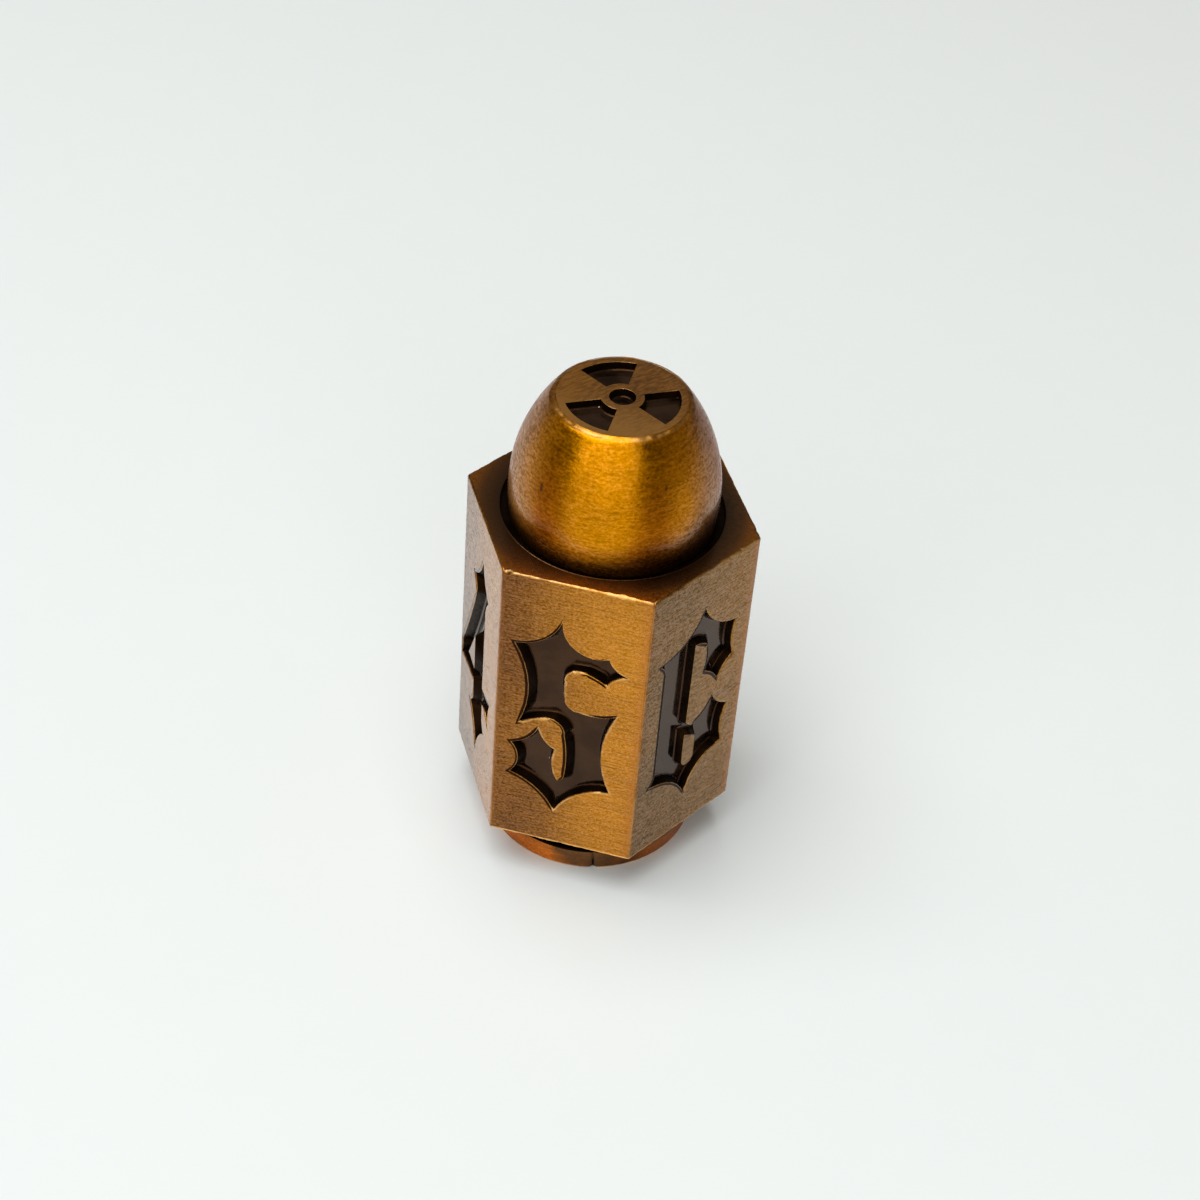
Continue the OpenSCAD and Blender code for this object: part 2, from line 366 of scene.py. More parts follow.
def outlines(node, right, up, out):
    """Closed outlines of a flat plate's outer face, and its outer and inner height along out.
    The plate lies to the left of the way along each outline."""
    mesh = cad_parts[node].data
    places = np.array([v.co[:] for v in mesh.vertices]) / MM
    height = places @ out
    key = {}
    number = [key.setdefault(tuple(np.round(p, ROUND_PLACES)), len(key)) for p in places]
    spot = {}
    ways = set()
    for polygon in mesh.polygons:
        corners = polygon.vertices[:]
        if min(height[i] for i in corners) > height.max() - FACE_SKIN:
            for a, b in zip(corners, corners[1:] + corners[:1]):
                ways.add((number[a], number[b]))
                spot[number[a]] = (places[a] @ right, places[a] @ up)
    onward = {a: b for a, b in ways if (b, a) not in ways}
    loops = []
    while onward:
        loop, at = [], min(onward)
        while at in onward:
            loop.append(spot[at])
            at = onward.pop(at)
        loops.append(np.array(loop))
    return loops, float(height.max()), float(height.min())


def outward(loop):
    """At each point, the way out of the plate midway between its two edges, and how squarely they face it."""
    before = loop - np.roll(loop, 1, 0)
    after = np.roll(loop, -1, 0) - loop
    before /= np.linalg.norm(before, axis=1)[:, None]
    after /= np.linalg.norm(after, axis=1)[:, None]
    right = np.stack([before[:, 1], -before[:, 0]], 1)
    middle = right + np.stack([after[:, 1], -after[:, 0]], 1)
    middle /= np.maximum(np.linalg.norm(middle, axis=1), TINY)[:, None]
    return middle, (middle * right).sum(1)


def moved_out(loop, distance, most=2.5):
    """A loop moved out of the plate by distance, with its corners kept. most limits how far they move."""
    way, square = outward(loop)
    return loop + way * (np.asarray(distance) / np.maximum(square, 1 / most))[:, None]


def room_beside(loops, side):
    """For each point of each loop, the radius of the largest circle that touches it between the loops,
    outside the plate for side 1 and inside it for side -1."""
    border = np.concatenate([even_steps(loop, BORDER_PITCH) for loop in loops])
    room = []
    for loop in loops:
        gap = border[None] - loop[:, None]
        ahead = side * (gap * outward(loop)[0][:, None]).sum(2)
        reach = (gap ** 2).sum(2)
        apart = (ahead > SAME_SPOT) & (reach > SAME_SPOT)
        room.append(np.where(apart, reach / (2 * np.maximum(ahead, TINY)), np.inf).min(1))
    return room


def even_steps(loop, pitch):
    """A loop with points added along its edges, so that none is longer than pitch."""
    points = []
    for a, b in zip(loop, np.roll(loop, -1, 0)):
        count = max(math.ceil(np.linalg.norm(b - a) / pitch), 1)
        points.extend(a + (b - a) * i / count for i in range(count))
    return np.array(points)


def distance_to(places, loops):
    """Least distance from each place to the loops' edges."""
    least = np.full(len(places), np.inf)
    for loop in loops:
        for a, b in zip(loop, np.roll(loop, -1, 0)):
            way = b - a
            t = np.clip(((places - a) @ way) / max(way @ way, TINY), 0, 1)
            least = np.minimum(least, np.linalg.norm(places - a - t[:, None] * way, axis=1))
    return least


def ring_turns():
    return np.arange(RING_COUNT) * (FULL_TURN / RING_COUNT)


def spin(r, z):
    """A ring of points about the die's axis."""
    turn = ring_turns()
    return np.stack([r * np.cos(turn), r * np.sin(turn), np.full(RING_COUNT, z)], 1)


def turned_from(turns, middle):
    """Angles from a middle one, from minus half a turn to half a turn."""
    return (turns - middle + math.pi) % FULL_TURN - math.pi


def quarter(steps):
    """Angles from 0 to a quarter turn."""
    return [math.pi / 2 * i / steps for i in range(steps + 1)]


def wavering(place, size, seed):
    """A smooth value from -1 to 1 that changes over about size millimetres."""
    return noise.noise(Vector([c / size + seed for c in place]))


# Pockets: lengths in millimetres, the rest shares. The lee is the left edges: there the walls lean more and
# the lips are narrower, and painted shade dims the lips and darkens the crease.
LIP_STEPS = 4
ROOM_SHARE = 0.6
LEAST_ROOM = 0.01
SPIKE_REACH = 1.4
LEE_START = 0.25
LEE_RISE = 2.5
LEE_LEAN = 2.3
LEE_LIP = 0.6
LEE_DULL = 0.5
LIP_FACE_RUB = 0.6
LIP_SOOT = 0.8
CREASE_MIDDLE = 0.6
CREASE_DEPTH = 0.03
CREASE_DARK = 0.26
CREASE_LIP = 0.7


def lee(loop):
    """How far each point lies on a left edge of the plate, from 0 to 1."""
    return np.clip(LEE_START - LEE_RISE * outward(loop)[0][:, 0], 0, 1)


def leaned_in(loops, lean):
    """Loops moved into the plate by lean, more on left edges and less where the plate is narrow."""
    moved = []
    for loop, room in zip(loops, room_beside(loops, -1)):
        full = lean * (1 + LEE_LEAN * np.clip(-outward(loop)[0][:, 0], 0, 1))
        moved.append(moved_out(loop, -np.minimum(full, ROOM_SHARE * room)))
    return moved


def sink(shell, node, axes, level, lip, lean, finishes, rub=1.0, crease=0.0, half_width=math.inf):
    """Sinks the pocket of an enamel into the surface at a level: creased lips, leaning walls and a floor.
    rub says how bright the lips are worn, and crease is the width of the dark crease outside them. No lip
    reaches past half_width. Returns each outline's outermost points, which lie on the surface."""
    right, up, out = axes
    finish, wall_finish = finishes
    loops, *heights = outlines(node, *axes)
    tops, floors = [], []

    def place(p, depth):
        return right * p[0] + up * p[1] + out * (level - depth)

    for loop, foot, room in zip(loops, leaned_in(loops, lean), room_beside(loops, 1)):
        rows = []
        dark = lee(loop)
        room = np.maximum(np.minimum(half_width - np.abs(loop[:, 0]), ROOM_SHARE * room), LEAST_ROOM)
        radius = np.minimum(lip * (1 - LEE_LIP * dark), room * lip / (lip + crease))

        def row(reach, down, worn, sunk):
            edge = moved_out(loop, reach, SPIKE_REACH)
            edge[:, 0] = np.clip(edge[:, 0], -half_width, half_width)
            rows.append(shell.add([place(p, d) for p, d in zip(edge, down)], worn, sunk))

        creased = 0.0
        if crease:
            creased = dark
            reach = np.minimum(radius + crease, room)
            beyond = reach - radius
            row(reach, 0 * reach, 0.0, 0.0)
            depth = CREASE_DEPTH * dark * beyond / crease
            # Painted shade: on left edges the crease's middle row gets a sunk value that colours it dark
            row(radius + CREASE_MIDDLE * beyond, depth, 0.0, CREASE_DARK * dark)
        for t in quarter(LIP_STEPS):
            down = radius * (1 - math.cos(t))
            # Painted shade: lips on left edges keep less of their worn colour
            bright = rub * max(math.sin(2 * t) ** 0.5, LIP_FACE_RUB * math.cos(t)) * (1 - LEE_DULL * dark)
            if t == 0:
                row(radius, down, bright * (1 - creased), CREASE_LIP * CREASE_DARK * creased)
            else:
                row(radius * (1 - math.sin(t)), down, bright, LIP_SOOT * down)
        walls = [rows[-1]]
        for height in heights:
            walls.append(shell.add([place(p, level - height) for p in foot], sunk=level - height))
        shell.bands(rows, finish)
        shell.bands(walls, wall_finish)
        tops.append(rows[0])
        floors.append(walls[-1])
    shell.fill(floors, right, up, wall_finish)
    return tops


# Shader tools


class Value:
    """A number, vector or colour that nodes work out. Sums written with it add nodes to its tree."""

    NUMBERS = ("LENGTH", "DISTANCE", "DOT_PRODUCT")

    def __init__(self, socket):
        self.socket = socket
        self.tree = socket.id_data

    def math(self, operation, *others, clamp=False):
        inputs = dict(enumerate((self, *others)))
        node = put(self.tree, "ShaderNodeMath", inputs, operation=operation, use_clamp=clamp)
        return Value(node.outputs[0])

    def vector(self, operation, *others):
        inputs = dict(enumerate((self, *others)))
        node = put(self.tree, "ShaderNodeVectorMath", inputs, operation=operation)
        return Value(node.outputs["Value" if operation in self.NUMBERS else "Vector"])

    def __add__(self, other):
        return self.math("ADD", other)

    __radd__ = __add__

    def __sub__(self, other):
        return self.math("SUBTRACT", other)

    def __mul__(self, other):
        return self.math("MULTIPLY", other)

    def __truediv__(self, other):
        return self.math("DIVIDE", other)

    def size(self):
        return self.math("ABSOLUTE")

    def below(self, limit):
        """1 where the value is less than limit, 0 elsewhere."""
        return self.math("LESS_THAN", limit)

    def most(self, other):
        return self.math("MAXIMUM", other)

    def clamped(self):
        return self.math("ADD", 0.0, clamp=True)

    def between(self, at_0, at_1):
        """A value from 0 to 1 taken to at_0 to at_1."""
        return self * (at_1 - at_0) + at_0

    def rest(self):
        """What is left of 1."""
        return self.between(1.0, 0.0)

    def eased(self, start, end, low=0.0, high=1.0, kind="SMOOTHSTEP"):
        """low up to start and high from end on, eased at both of them."""
        inputs = {"Value": self, "From Min": start, "From Max": end, "To Min": low, "To Max": high}
        return Value(put(self.tree, "ShaderNodeMapRange", inputs, interpolation_type=kind).outputs[0])

    def blend(self, a, b):
        """Colour a where this share is 0 and b where it is 1."""
        return Value(put(self.tree, "ShaderNodeMix", {0: self, 6: a, 7: b}, data_type="RGBA").outputs[2])

    def times(self, vector):
        """A vector or colour times this number."""
        inputs = {0: vector, "Scale": self}
        return Value(put(self.tree, "ShaderNodeVectorMath", inputs, operation="SCALE").outputs[0])


def join(value, socket):
    """Links a worked-out value to an input, or sets the input to a plain number, vector or colour."""
    if isinstance(value, Value):
        value.tree.links.new(value.socket, socket)
    elif socket.type == "RGBA":
        socket.default_value = (*value, 1.0)
    else:
        socket.default_value = value


def put(tree, kind, inputs=None, **settings):
    """A new node with its settings and inputs."""
    node = tree.nodes.new(kind)
    for key, value in settings.items():
        setattr(node, key, value)
    for key, value in (inputs or {}).items():
        join(value, node.inputs[key])
    return node


def tinted(colour, factor):
    """A plain colour made brighter or darker."""
    return [c * factor for c in colour]


def parts_of(vector):
    return [Value(part) for part in put(vector.tree, "ShaderNodeSeparateXYZ", {0: vector}).outputs]


def turn_of(way):
    """Angle of a place or direction about the die's axis, from the front towards the right."""
    x, y, _ = parts_of(way)
    return x.math("ARCTAN2", y * -1.0)


def stretched(vector, x, y, z):
    return Value(put(vector.tree, "ShaderNodeMapping", {"Vector": vector, "Scale": (x, y, z)}).outputs[0])


def noise_of(spot, scale=1.0, detail=1.0, roughness=0.6):
    inputs = {"Vector": spot, "Scale": scale, "Detail": detail, "Roughness": roughness}
    return Value(put(spot.tree, "ShaderNodeTexNoise", inputs).outputs[0])


def bumped(height, depth):
    """A normal tilted by a height. depth is that of a height of 1, in metres."""
    return Value(put(height.tree, "ShaderNodeBump", {"Height": height, "Distance": depth}).outputs[0])


def facing_of(tree):
    """0 where the surface faces the viewer, 1 where it is seen edge on."""
    return Value(put(tree, "ShaderNodeLayerWeight").outputs["Facing"])


def surface_value(tree, name):
    """A value that the mesh holds at its points: worn or sunk."""
    return Value(put(tree, "ShaderNodeAttribute", attribute_name=name).outputs["Fac"])


def label_of(key):
    return key.replace("_", " ").capitalize()


def effect(name, **numbers):
    """A new shader node group, its vector input and its number inputs, which have these defaults."""
    group = bpy.data.node_groups.new(name, "ShaderNodeTree")
    group.interface.new_socket("Vector", in_out="INPUT", socket_type="NodeSocketVector")
    for key, number in numbers.items():
        socket = group.interface.new_socket(label_of(key), in_out="INPUT", socket_type="NodeSocketFloat")
        socket.default_value = number
    given = put(group, "NodeGroupInput").outputs
    return group, *(Value(given[i]) for i in range(len(numbers) + 1))


def give(group, **results):
    """Ends a shader node group with its results."""
    for key in results:
        group.interface.new_socket(key, in_out="OUTPUT", socket_type="NodeSocketFloat")
    put(group, "NodeGroupOutput", results)
    return group


# Node groups and materials made so far, by maker
MADE = {}


def shared(maker):
    """The node group that maker builds, made the first time only."""
    if maker not in MADE:
        MADE[maker] = maker()
    return MADE[maker]


def place_group(maker, spot, **inputs):
    """Puts a shared node group into the tree of spot and returns its results by name."""
    named = {label_of(key): value for key, value in inputs.items()}
    node = put(spot.tree, "ShaderNodeGroup", {"Vector": spot, **named}, node_tree=shared(maker))
    return {result.name: Value(result) for result in node.outputs}


# Materials


# Strokes, grains, patches and fibres per metre
FINE_STROKES = (5600, 5600, 8200)
LINE_STROKES = (1200, 1200, 8200)
DEEP_STROKES = (320, 320, 8500)
TIP_STROKES = (2100, 8500, 2100)
GRAINS, GRIT, PATCHES, FIBRES = 4500.0, 2600.0, 520.0, 240.0
# Share of the longer strokes, and the middle level of all the strokes
LINE_SHARE = 0.38
STROKE_MIDDLE = 0.5
# Ramps: where the change starts and ends and, unless they are 0 and 1, the values there
STREAK_LEVELS, DEEP_LEVELS, WORN_LEVELS = (0.34, 0.66), (0.52, 0.74), (2 / 3, 1.25)
CLOUD_LEVELS, GRAIN_LEVELS = (0.35, 0.65), (0.3, 0.7)


def brushed_grain():
    """Strokes of a brush that run level round the die: long along, fine across."""
    group, spot = effect("Brushed grain")
    fine = noise_of(stretched(spot, *FINE_STROKES))
    lines = noise_of(stretched(spot, *LINE_STROKES))
    deep = noise_of(stretched(spot, *DEEP_STROKES), roughness=0.5)
    both = fine * (1 - LINE_SHARE) + lines * LINE_SHARE
    streaks = both.eased(*STREAK_LEVELS, kind="LINEAR")
    return give(group, Streaks=streaks, Scratches=deep.eased(*DEEP_LEVELS), Height=both)


def patina_clouds():
    """Soft blotches of patina, and fine grain."""
    group, spot, per_metre = effect("Patina clouds", per_metre=300.0)
    cloud = noise_of(spot, per_metre, detail=3.0, roughness=0.55)
    grain = noise_of(spot, GRAINS, detail=2.0)
    return give(group, Mask=cloud.eased(*CLOUD_LEVELS), Grain=grain.eased(*GRAIN_LEVELS))


def wear_and_highlight_edges():
    """Where an edge is rubbed bright and where a highlight is painted: the mesh's own value, broken up by
    grain.
    """
    group, spot, worn = effect("Worn edges", worn=0.0)
    grit = noise_of(spot, GRIT, detail=3.0)
    patch = noise_of(spot, PATCHES, roughness=0.5)
    return give(group, Mask=worn * (grit + patch).eased(*WORN_LEVELS))


def fine_specks():
    """Sparse small round specks."""
    group, spot, per_metre, share, size = effect("Fine specks", per_metre=900.0, share=0.04, size=0.06)
    cell = put(group, "ShaderNodeTexVoronoi", {"Vector": spot, "Scale": per_metre}).outputs
    draw = put(group, "ShaderNodeSeparateColor", {0: Value(cell["Color"])}).outputs[0]
    return give(group, Mask=Value(draw).below(share) * Value(cell["Distance"]).below(size))


def side_place():
    """How far right of its side's middle a place lies, from -1 to 1, and the side's turn from the front."""
    group, spot = effect("Side place")
    turn = turn_of(spot)
    sector = (turn / SIDE_TURN).math("ROUND") * SIDE_TURN
    lean = (turn - sector).math("TANGENT")
    return give(group, Across=lean / math.tan(HALF_TURN), Turn=sector)


# Middle and half width in degrees from the front, and share of the light that is missing
DARK_QUARTERS = ((-57, 26, 0.78), (54, 30, 0.68), (112, 30, 0.08), (155, 28, 0.45), (-145, 30, 0.3))
# Where a quarter's edge begins and where it is darkest, as shares of its half width
QUARTER_EDGE = 1.15
QUARTER_CORE = 0.25


def dark_quarters(way):
    """How much of the studio's light is missing in a direction, as metal sees it."""
    turn = turn_of(way)
    missing = []
    for middle, half, share in DARK_QUARTERS:
        off = (turn - math.radians(middle)).size()
        edge, core = math.radians(half * QUARTER_EDGE), math.radians(half * QUARTER_CORE)
        missing.append(off.eased(edge, core, high=share))
    return sum(missing)


def finish(maker, colours):
    """The material whose Principled shader has the inputs that maker works out, made the first time only."""
    if maker not in MADE:
        material = bpy.data.materials.new(maker.__name__)
        material.use_nodes = True
        tree = material.node_tree
        tree.nodes.clear()
        spot = Value(put(tree, "ShaderNodeTexCoord").outputs["Object"])
        shader = put(tree, "ShaderNodeBsdfPrincipled", maker(spot, colours))
        put(tree, "ShaderNodeOutputMaterial", {0: Value(shader.outputs[0])})
        MADE[maker] = material
    return MADE[maker]


def wear_and_highlight_mask(spot):
    return place_group(wear_and_highlight_edges, spot, worn=surface_value(spot.tree, "worn"))["Mask"]


def stroke_tone(grain, depth, level):
    """How bright the strokes make a metal: level on the whole, and depth from darkest to brightest."""
    return (grain["Streaks"] - STROKE_MIDDLE) * depth + level


def brushed_round(spot, amount):
    """Inputs of a metal that is brushed round the die's axis, under a thin coat."""
    axis = put(spot.tree, "ShaderNodeTangent", direction_type="RADIAL", axis="Z").outputs[0]
    return {"Metallic": 1.0, "Tangent": Value(axis), "Anisotropic": amount, "Anisotropic Rotation": 0.25,
            "Coat Roughness": 0.15}


# Ends of the scratches on the front side, in metres
FRONT_SCRATCHES = (
    ((-0.0039, -0.0075, 0.0202), (-0.0015, -0.0075, 0.02035)),
    ((-0.0038, -0.0075, 0.0217), (-0.0029, -0.0075, 0.02165)),
)
SCRATCH_WIDTH = 0.04 * MM
SCRATCH_CORE = 0.3


def scratch(spot, start, end):
    """A mask along a straight scratch between two points."""
    way = Vector(end) - Vector(start)
    from_start = spot.vector("SUBTRACT", start)
    along = from_start.vector("DOT_PRODUCT", way / way.length_squared).clamped()
    off = from_start.vector("DISTANCE", along.times(way))
    return off.eased(SCRATCH_WIDTH, SCRATCH_CORE * SCRATCH_WIDTH)


# Heights on the barrel's sides, in metres
FOOT_Z = BARREL_FOOT * MM
FOOT_EDGE_Z = FOOT_Z + 0.2 * MM
FOOT_HIGHLIGHT_Z = FOOT_Z + 0.1 * MM
FOOT_BURR_Z = FOOT_Z + 0.05 * MM
FOOT_SHADE_Z = 9.0 * MM
# Shares of the blotches, olive painted shade, pits and scratches in the sides' metal, and the tone of the
# creases
BLOTCH_SHARE, RIGHT_SHADE_SHARE, PIT_SHARE, SCRATCH_SHARE = 0.25, 0.45, 0.7, 0.14
CREASE_GRAIN, CREASE_TINT = 0.04, 0.25
# Heights of the burr at the foot and of the fall towards the upright edges, next to that of the strokes
BURR_HEIGHT, CROWN_FALL = 4.0, 3.5
# How much the strokes and a slanting view add to the gloss
STROKE_GLOSS, SLANT_GLOSS = 1.5, 0.39
# Ramps across a side, from -1 at its left edge to 1 at its right
CLEARED_ACROSS, PITTED_ACROSS = (-1.0, 0.8, 0.0, 0.8), (-0.55, -0.95, 0.03, 0.3)
COPPER_RIGHT, COPPER_LEFT = (0.8, 1.0, 0.0, 0.6), (-0.93, -1.0, 0.0, 0.4)
CROWN_ACROSS = (0.9, 1.0)
# Ramps of the sunk value in a crease and of the facing in a slanting view
CREASE_LEVELS, SLANT_FACING = (0.03, 0.15), (0.55, 0.75)
# Pairs of values, for a share of 0 and of 1
EVENED, STROKE_DEPTHS, SCRATCH_TONES, SIDE_GLOSS = (0.16, -0.32), (0.95, 0.5), (1.0, 0.76), (-0.24, -0.2)


def barrel_metal(spot, colours, grain, cloud, across, right_side):
    """Colour of the sides' metal: cleared from left to right, with strokes, pits and rubbed edges, painted
    shade towards the foot and on the side to the right of the front, and a painted highlight along the foot's
    edge.
    """
    high = parts_of(spot)[2]
    rubbed = across.eased(*CLEARED_ACROSS)
    # Painted shade on the side to the right of the front: its cleared share is evened out across it
    evened = right_side * rubbed.between(*EVENED)
    # Painted shade: less cleared metal, so darker, towards the foot
    painted_foot_shade = high.eased(FOOT_SHADE_Z, FOOT_Z, high=0.14)
    cleared = (cloud["Mask"] * BLOTCH_SHARE + (evened + rubbed) - painted_foot_shade).clamped()
    metal = cleared.blend(colours.barrel_patina, colours.barrel_polish)
    # Painted shade: the side to the right of the front turns dull olive
    metal = (right_side * RIGHT_SHADE_SHARE).blend(metal, colours.right_side_shade)
    metal = stroke_tone(grain, depth=cleared.between(*STROKE_DEPTHS), level=0.94).times(metal)
    metal = grain["Scratches"].between(*SCRATCH_TONES).times(metal)
    pitted = across.eased(*PITTED_ACROSS)
    pits = place_group(fine_specks, spot, per_metre=900.0, share=pitted, size=0.09)["Mask"]
    metal = (pits * PIT_SHARE).blend(metal, colours.brown_patina_and_shade)
    for start, end in FRONT_SCRATCHES:
        metal = (scratch(spot, start, end) * SCRATCH_SHARE).blend(metal, colours.bare_metal_and_highlight)
    ruddy = across.eased(*COPPER_RIGHT) + across.eased(*COPPER_LEFT)
    metal = ruddy.blend(metal, colours.edge_copper)
    # Painted highlight: a pale line of bare-metal colour along the foot's edge
    painted_foot_highlight = high.eased(FOOT_EDGE_Z, FOOT_HIGHLIGHT_Z, high=0.75)
    return wear_and_highlight_mask(spot).most(painted_foot_highlight).blend(metal, colours.bare_metal_and_highlight)


def brushed_barrel(spot, colours):
    """Brushed antique metal of the barrel's sides, with rubbed edges, partly painted highlight, and dark
    creases, painted shade along left edges.
    """
    grain = place_group(brushed_grain, spot)
    cloud = place_group(patina_clouds, spot, per_metre=170.0)
    place = place_group(side_place, spot)
    right_side = (place["Turn"] - SIDE_TURN).size().below(HALF_TURN)
    metal = barrel_metal(spot, colours, grain, cloud, place["Across"], right_side)
    # Painted shade in the creases along left edges, and paint low in the lips
    crease = (cloud["Grain"] * CREASE_GRAIN + surface_value(spot.tree, "sunk")).eased(*CREASE_LEVELS)
    crown = place["Across"].size().eased(*CROWN_ACROSS, kind="LINEAR").math("POWER", 2.0)
    burr = parts_of(spot)[2].eased(FOOT_EDGE_Z, FOOT_BURR_Z, high=BURR_HEIGHT)
    height = grain["Height"] - crown * CROWN_FALL + burr
    slant = facing_of(spot.tree).eased(*SLANT_FACING)
    gloss = slant * SLANT_GLOSS + right_side.between(*SIDE_GLOSS)
    coat = (grain["Streaks"] * STROKE_GLOSS + gloss).clamped()
    dull = crease * slant.rest()
    return {
        **brushed_round(spot, 0.8),
        "Base Color": crease.blend(metal, tinted(colours.orange_patina_and_shade, CREASE_TINT)),
        "Roughness": grain["Streaks"].between(0.34, 0.44), "Normal": bumped(height, depth=1.6e-5),
        "Coat Weight": coat * dull.rest(), "Coat IOR": 1.46}


# Where the shoulder's corners turn to copper and where the seat darkens it, from the axis in metres
COPPER_START, COPPER_FULL = 7.3 * MM, 8.3 * MM
SEAT_DARK_START, SEAT_DARK_FULL = 7.7 * MM, 6.4 * MM
DARK_GRAIN_SHARE = 0.22
# A ramp of the sunk value, and pairs of values for a share of 0 and of 1
SEAT_LEVELS, BROWN_SHARES, DARK_GRAIN_TONES = (0.05, 0.3), (0.25, 0.6), (1.3, 0.75)


def dark_shoulder(spot, colours):
    """Dark patina on the barrel's ends and in the seat."""
    cloud = place_group(patina_clouds, spot, per_metre=260.0)
    sunk = surface_value(spot.tree, "sunk").eased(*SEAT_LEVELS)
    patina = (cloud["Grain"] * DARK_GRAIN_SHARE).blend(colours.brown_patina_and_shade, colours.enamel)
    patina = cloud["Mask"].between(*BROWN_SHARES).blend(patina, colours.barrel_patina)
    patina = cloud["Grain"].between(*DARK_GRAIN_TONES).times(patina)
    from_axis = spot.vector("MULTIPLY", (1, 1, 0)).vector("LENGTH")
    patina = from_axis.eased(COPPER_START, COPPER_FULL, high=0.9).blend(patina, colours.edge_copper)
    by_seat = from_axis.eased(SEAT_DARK_START, SEAT_DARK_FULL, high=0.65)
    patina = by_seat.most(sunk).blend(patina, colours.enamel)
    return {
        "Base Color": wear_and_highlight_mask(spot).blend(patina, colours.bare_metal_and_highlight), "Metallic": sunk.rest(),
        "Roughness": cloud["Grain"].between(0.26, 0.38), "Normal": bumped(cloud["Grain"], depth=3e-6),
        "Coat Weight": 1.0, "Coat Roughness": 0.2, "Coat IOR": 1.31}


# Small dark marks on the nose: place and half sizes, in metres
NOSE_MARKS = (
    ((-0.0031, -0.00475, 0.0275), (0.00013, 0.0002, 0.0005)),
    ((0.00364, -0.0039, 0.02855), (0.0001, 0.0002, 0.00016)),
    ((0.00223, -0.00343, 0.0308), (0.00009, 0.0002, 0.0003)),
)
# Heights on the nose and its half width, in metres
FOOT_DARK_START, FOOT_DARK_FULL = (BARREL_TOP + 1.8) * MM, (BARREL_TOP - 0.4) * MM
FOOT_HAZE_START, FOOT_HAZE_FULL = (BARREL_TOP + 3.2) * MM, (BARREL_TOP + 1.0) * MM
NOSE_HALF = 6.0 * MM
# How fast the dark foot, patina with painted shade, climbs towards the right, how deep its strokes are and
# how dark the pits
FOOT_CLIMB, FOOT_STROKES, NOSE_PIT_SHARE = 0.22, 0.35, 0.8
# How much rougher rubbed metal is, and how much larger the strokes are than on the barrel
WORN_ROUGH = 0.15
NOSE_GRAIN = (0.85, 0.85, 0.9)
# Ramps of the facing, from 0 where the metal faces the viewer to 1 where it is seen edge on
NOSE_STROKES, SHADE_FACING = (0.2, 0.4, 0.5, 0.68), (0.35, 0.6)
HAZE_FACING, FOOT_HAZE_FACING = (0.28, 0.52, 0.03, 0.62), (0.19, 0.32)
# Ramps of a mark's edge, the strokes' glint and the blotches
MARK_EDGE, STROKE_GLINTS, NOSE_BLOTCHES = (1.0, 0.4), (0.5, 1.0, 0.0, 0.4), (1.0, 0.0, 0.0, 0.2)
# Pairs of values, for a share of 0 and of 1
SHADES, HAZE_SHARES, HAZE_STROKES = (-0.2, -0.34), (0.72, 1.14), (-0.2, 2.2)


def nose_pits(spot):
    """A mask of small pits and the larger dark marks."""
    pits = place_group(fine_specks, spot, per_metre=520.0, share=0.04, size=0.05)["Mask"]
    for place, size in NOSE_MARKS:
        off = stretched(spot.vector("SUBTRACT", place), *(1 / s for s in size))
        pits = pits.most(off.vector("LENGTH").eased(*MARK_EDGE))
    return pits


def turned_nose(spot, colours):
    """Turned metal of the nose: golden, mottled by level strokes, with dark orange patina and painted shade
    round its foot, and painted shade on its flanks.
    """
    grain = place_group(brushed_grain, stretched(spot, *NOSE_GRAIN))
    cloud = place_group(patina_clouds, spot, per_metre=300.0)
    worn = wear_and_highlight_mask(spot)
    facing = facing_of(spot.tree)
    x, _, height = parts_of(spot)
    rightward = x.eased(-NOSE_HALF, NOSE_HALF)
    metal = cloud["Mask"].eased(*NOSE_BLOTCHES).blend(colours.nose_polish, colours.orange_patina_and_shade)
    metal = (nose_pits(spot) * NOSE_PIT_SHARE).blend(metal, colours.brown_patina_and_shade)
    # Patina with painted shade: darker towards the foot, where the shoulder shows in reflection, and reaching
    # higher on the right
    low = (height - x.most(0.0) * FOOT_CLIMB).eased(FOOT_DARK_START, FOOT_DARK_FULL, high=0.9)
    metal = low.blend(metal, colours.orange_patina_and_shade)
    stroke_depth = low * FOOT_STROKES + facing.eased(*NOSE_STROKES)
    metal = stroke_tone(grain, stroke_depth, level=0.85).times(metal)
    shade = facing.eased(*SHADE_FACING) * rightward.between(*SHADES)
    metal = worn.blend((shade + 1.0).times(metal), colours.bare_metal_and_highlight)
    foot_haze = height.eased(FOOT_HAZE_START, FOOT_HAZE_FULL, high=0.85) * facing.eased(*FOOT_HAZE_FACING)
    haze = facing.eased(*HAZE_FACING) * rightward.between(*HAZE_SHARES) + foot_haze
    glint = grain["Streaks"].eased(*STROKE_GLINTS)
    coat = (haze * grain["Streaks"].between(*HAZE_STROKES) + glint).clamped()
    return {
        **brushed_round(spot, 0.7), "Base Color": metal,
        "Roughness": worn * WORN_ROUGH + grain["Streaks"].between(0.32, 0.4),
        "Normal": bumped(grain["Height"], depth=1e-5), "Coat Weight": coat, "Coat IOR": 1.42}


# Where the painted shade on the rim begins, is full, begins to fade and ends, from the front
RIM_SHADE_TURNS = [math.radians(turn) for turn in (-10, 18, 26, 50)]
# Between these heights the rim darkens towards the groove as painted shade under the barrel, in metres
RIM_DARK_START, RIM_DARK_FULL = 0.7 * MM, 1.4 * MM
# Ramps of the blotches, the strokes and the sunk value
RIM_BLOTCHES, RIM_STROKES, SEAM_LEVELS = (0.0, 1.0, -0.1, 0.45), (1.0, 0.0, 0.0, 0.35), (0.06, 0.12)


